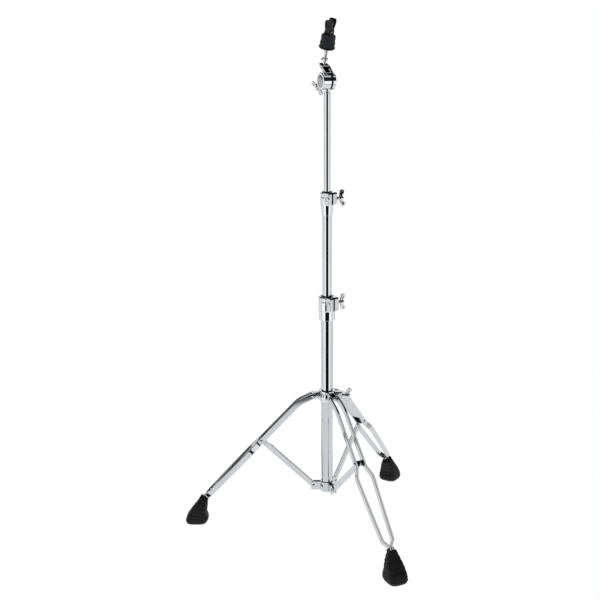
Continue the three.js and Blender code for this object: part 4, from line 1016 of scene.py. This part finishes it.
def paddle_body():
    half, root = PADDLE.width / 2, PADDLE.root / 2
    top = PADDLE.length - half
    high = PADDLE.length - PADDLE.corner
    outline = [(root, 0)]
    outline += bezier((root, 0), (root, top / 2), (half, top / 2), (half, high))
    outline += arc(half - PADDLE.corner, high, PADDLE.corner, 0, 90, 8)[1:]
    outline += arc(PADDLE.corner - half, high, PADDLE.corner, 90, 180, 8)
    outline += bezier((-half, high), (-half, top / 2), (-root, top / 2), (-root, 0))[:-1]
    outline += [(-root, 0)]
    pad = moved(slab(outline, PADDLE.thickness, 1.1, 4), turn("Z", -90), at(PADDLE.thickness / 2))
    knuckle = along_y(round_bar(PADDLE.knuckle, -root, root, 0.5, 48))
    bowl = bmesh.new()
    bmesh.ops.create_uvsphere(bowl, u_segments=64, v_segments=32, radius=1)
    stretch = Matrix.Diagonal((PADDLE.dish_depth, PADDLE.dish, PADDLE.dish, 1))
    moved(bowl, stretch, at(PADDLE.thickness, 0, top))
    bore = along_y(round_bar(NUT.pin + GAP / 2, -2 * half, 2 * half, 0, 32))
    return soften(carved(joined(pad, knuckle), bowl, bore), 0.3, 2, 50)


def add_stack():
    piece("rod_shaft", rod_body(), ROD_FRAME, TUBE, "tilter_arm", "rod")
    piece("stop_ring", stop_collar(), ROD_FRAME, CASTING, "tilter_arm", "stop_collar")
    piece("seat_plate", seat_body(), ROD_FRAME, NYLON, "tilter_arm", "cymbal_seat", slot="nylon")
    felts = (("lower", FELT.lower, lower_felt_height, 0), ("upper", FELT.upper, upper_felt_height, 40))
    for name, radius, height, seed in felts:
        made = piece(f"{name}_felt_ring", felt_ring(radius, seed), ROD_FRAME @ at(z=height), WOOL,
                     f"{name}_felt", f"{name}_felt", slot="felt", angle=70)
    piece("nut_core", nut_core(), NUT_FRAME, NYLON, "nut", "nut_body", slot="nylon")
    for letter, spin in (("a", 0), ("b", 180)):
        place = NUT_FRAME @ turn("Z", spin) @ at(PADDLE.offset, 0, paddle_hinge)
        piece(f"paddle_pad_{letter}", paddle_body(), place, NYLON, f"paddle_{letter}", f"nut_paddle_{letter}",
              slot="nylon")


# Camera, floor and light

def add_camera():
    data = bpy.data.cameras.new("camera")
    camera = bpy.data.objects.new("camera", data)
    bpy.context.scene.collection.objects.link(camera)
    # Fitted to the photograph, in metres and degrees
    camera.location = (AXIS[0] + 0.0886, AXIS[1] - 2.5802, 1.2648)
    camera.rotation_euler = (math.radians(90 - 14.622), 0, math.radians(2.03))
    data.sensor_width = 36
    data.lens = 65.83
    data.shift_x = -0.0432
    data.clip_end = 50
    data.dof.use_dof = False
    bpy.context.scene.camera = camera


# What the chrome mirrors, in layers that are added or subtracted in turn. Each has its brightness round the
# stand, by degrees from the camera's side, negative to its left, and its share by height, from -1 below to 1.
SURROUNDINGS = (
    # Horizon
    ("ADD", ((-180, 0.05), (-152, 0.08), (-140, 1.1), (-98, 0.95), (-80, 0.85), (-48, 1.5), (-29, 1.45),
             (-25, 0.03), (-10, 0.005), (20, 0.005), (33, 0.03), (38, 1.5), (52, 1.5), (80, 0.8), (98, 1.05),
             (140, 1.1), (152, 0.08), (180, 0.05)),
     ((0, 1), (0.03, 0.01), (0.92, 0.01), (0.96, 0.8))),
    # Belt just above it
    ("ADD", ((-180, 0.01), (-112, 0.01), (-105, 0.8), (-60, 0.8), (-54, 0.01), (-48, 0.01), (-42, 1.2),
             (-24, 1.2), (-18, 0.01), (12, 0.01), (17, 1.2), (36, 1.2), (42, 0.01), (140, 0.01), (147, 0.9),
             (168, 0.9), (175, 0.01)),
     ((0, 0), (0.03, 1), (0.16, 1), (0.2, 0))),
    # Back wall
    ("ADD", ((-180, 0.9), (-146, 0.85), (-132, 0.01), (132, 0.01), (146, 0.85), (180, 0.9)),
     ((0.08, 0), (0.12, 1), (0.45, 1), (0.55, 0))),
    # Soft boxes
    ("ADD", ((-98, 0.01), (-92, 1.2), (-70, 1.2), (-64, 0.01), (66, 0.01), (69, 1), (78, 1), (81, 0.01)),
     ((0.69, 0), (0.71, 1), (0.84, 1), (0.86, 0))),
    # Dark flag
    ("SUBTRACT", ((-180, 0), (44, 0), (50, 1.5), (72, 1.5), (78, 0), (180, 0)),
     ((-0.65, 0), (-0.64, 1), (-0.575, 1), (-0.565, 0))),
)


def add_world():
    world = bpy.data.worlds.new("studio")
    bpy.context.scene.world = world
    world.use_nodes = True
    tree = world.node_tree
    tree.nodes.clear()
    direction = add(tree, "ShaderNodeTexCoord").outputs["Generated"]
    parts = add(tree, "ShaderNodeSeparateXYZ", {0: direction}).outputs
    angle = computed(tree, "ARCTAN2", parts["X"], computed(tree, "MULTIPLY", parts["Y"], -1))
    share, height = (
        add(tree, "ShaderNodeMapRange", {"Value": value, "From Min": -most, "From Max": most}).outputs[0]
        for value, most in ((angle, math.pi), (parts["Z"], 1))
    )
    brightest = max(value for _, value in SURROUNDINGS[0][1])
    total = None
    for blend, band, rise in SURROUNDINGS:
        around = ramp(tree, share, [((degrees + 180) / 360, grey(value / brightest)) for degrees, value in band])
        tall = ramp(tree, height, [((z + 1) / 2, grey(value)) for z, value in rise])
        layer = blended(tree, "MULTIPLY", around, tall)
        total = layer if total is None else blended(tree, blend, total, layer)
    around = add(tree, "ShaderNodeBackground", {"Color": total, "Strength": brightest})
    paper = add(tree, "ShaderNodeBackground", {"Color": grey(1), "Strength": 1})
    seen = add(tree, "ShaderNodeLightPath").outputs["Is Camera Ray"]
    choice = add(tree, "ShaderNodeMixShader", {0: seen, 1: around.outputs[0], 2: paper.outputs[0]})
    add(tree, "ShaderNodeOutputWorld", {"Surface": choice.outputs[0]})


# White to the camera. Seen in reflections, a patch behind the stand and to its left is painted dark, as painted
# shade.
def add_floor():
    bm = bmesh.new()
    bmesh.ops.create_circle(bm, cap_ends=True, segments=128, radius=0.97)
    mesh = bpy.data.meshes.new("floor")
    bm.to_mesh(mesh)
    bm.free()
    floor = bpy.data.objects.new("floor", mesh)
    floor.location = (AXIS[0], AXIS[1], -0.0005)
    bpy.context.scene.collection.objects.link(floor)
    made = bpy.data.materials.new("white paper floor")
    made.use_nodes = True
    tree = made.node_tree
    tree.nodes.clear()
    parts = add(tree, "ShaderNodeSeparateXYZ", {0: add(tree, "ShaderNodeTexCoord").outputs["Object"]}).outputs
    behind = ramp(tree, parts["Y"], [(0.25, grey(0)), (0.3, grey(1))])
    left = computed(tree, "MULTIPLY", parts["X"], -1)
    aside = ramp(tree, left, [(0.04, grey(0)), (0.08, grey(1)), (0.4, grey(1)), (0.44, grey(0))])
    reflected = computed(tree, "SUBTRACT", 1, add(tree, "ShaderNodeLightPath").outputs["Is Camera Ray"])
    # The patch is painted shade: it darkens the floor's glow for reflected rays only.
    painted_dark_patch = computed(tree, "MULTIPLY", computed(tree, "MULTIPLY", behind, aside), reflected)
    light = add(tree, "ShaderNodeEmission", {"Color": grey(1), "Strength": between(tree, painted_dark_patch, 1, 0.08)})
    add(tree, "ShaderNodeOutputMaterial", {"Surface": light.outputs[0]})
    mesh.materials.append(made)
    floor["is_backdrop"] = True


def add_light(name, location, target, size, power):
    data = bpy.data.lights.new(name, "AREA")
    data.shape = "DISK"
    data.size = size
    data.energy = power
    light = bpy.data.objects.new(name, data)
    light.location = location
    light.rotation_euler = (Vector(target) - Vector(location)).to_track_quat("-Z", "Y").to_euler()
    light.visible_glossy = False
    bpy.context.scene.collection.objects.link(light)


def keep_sizes():
    sizes = {"cad": cad_bounds, "shown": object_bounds()}
    for name, corners in sizes.items():
        sizes[name] = [[round(value, 5) for value in corner] for corner in corners]


add_camera()
add_world()
add_floor()
add_light("key", (-1.2, -1.6, 2.6), (0, 0, 0.6), 1.6, 30)
add_light("fill", (1.6, -1.2, 2.2), (0, 0, 0.6), 1.6, 20)
bpy.context.scene.view_settings.view_transform = "Standard"
add_tubes()
add_legs()
add_base_fittings()
add_wing_bolts()
add_clamps()
add_tilter()
add_stack()
keep_sizes()
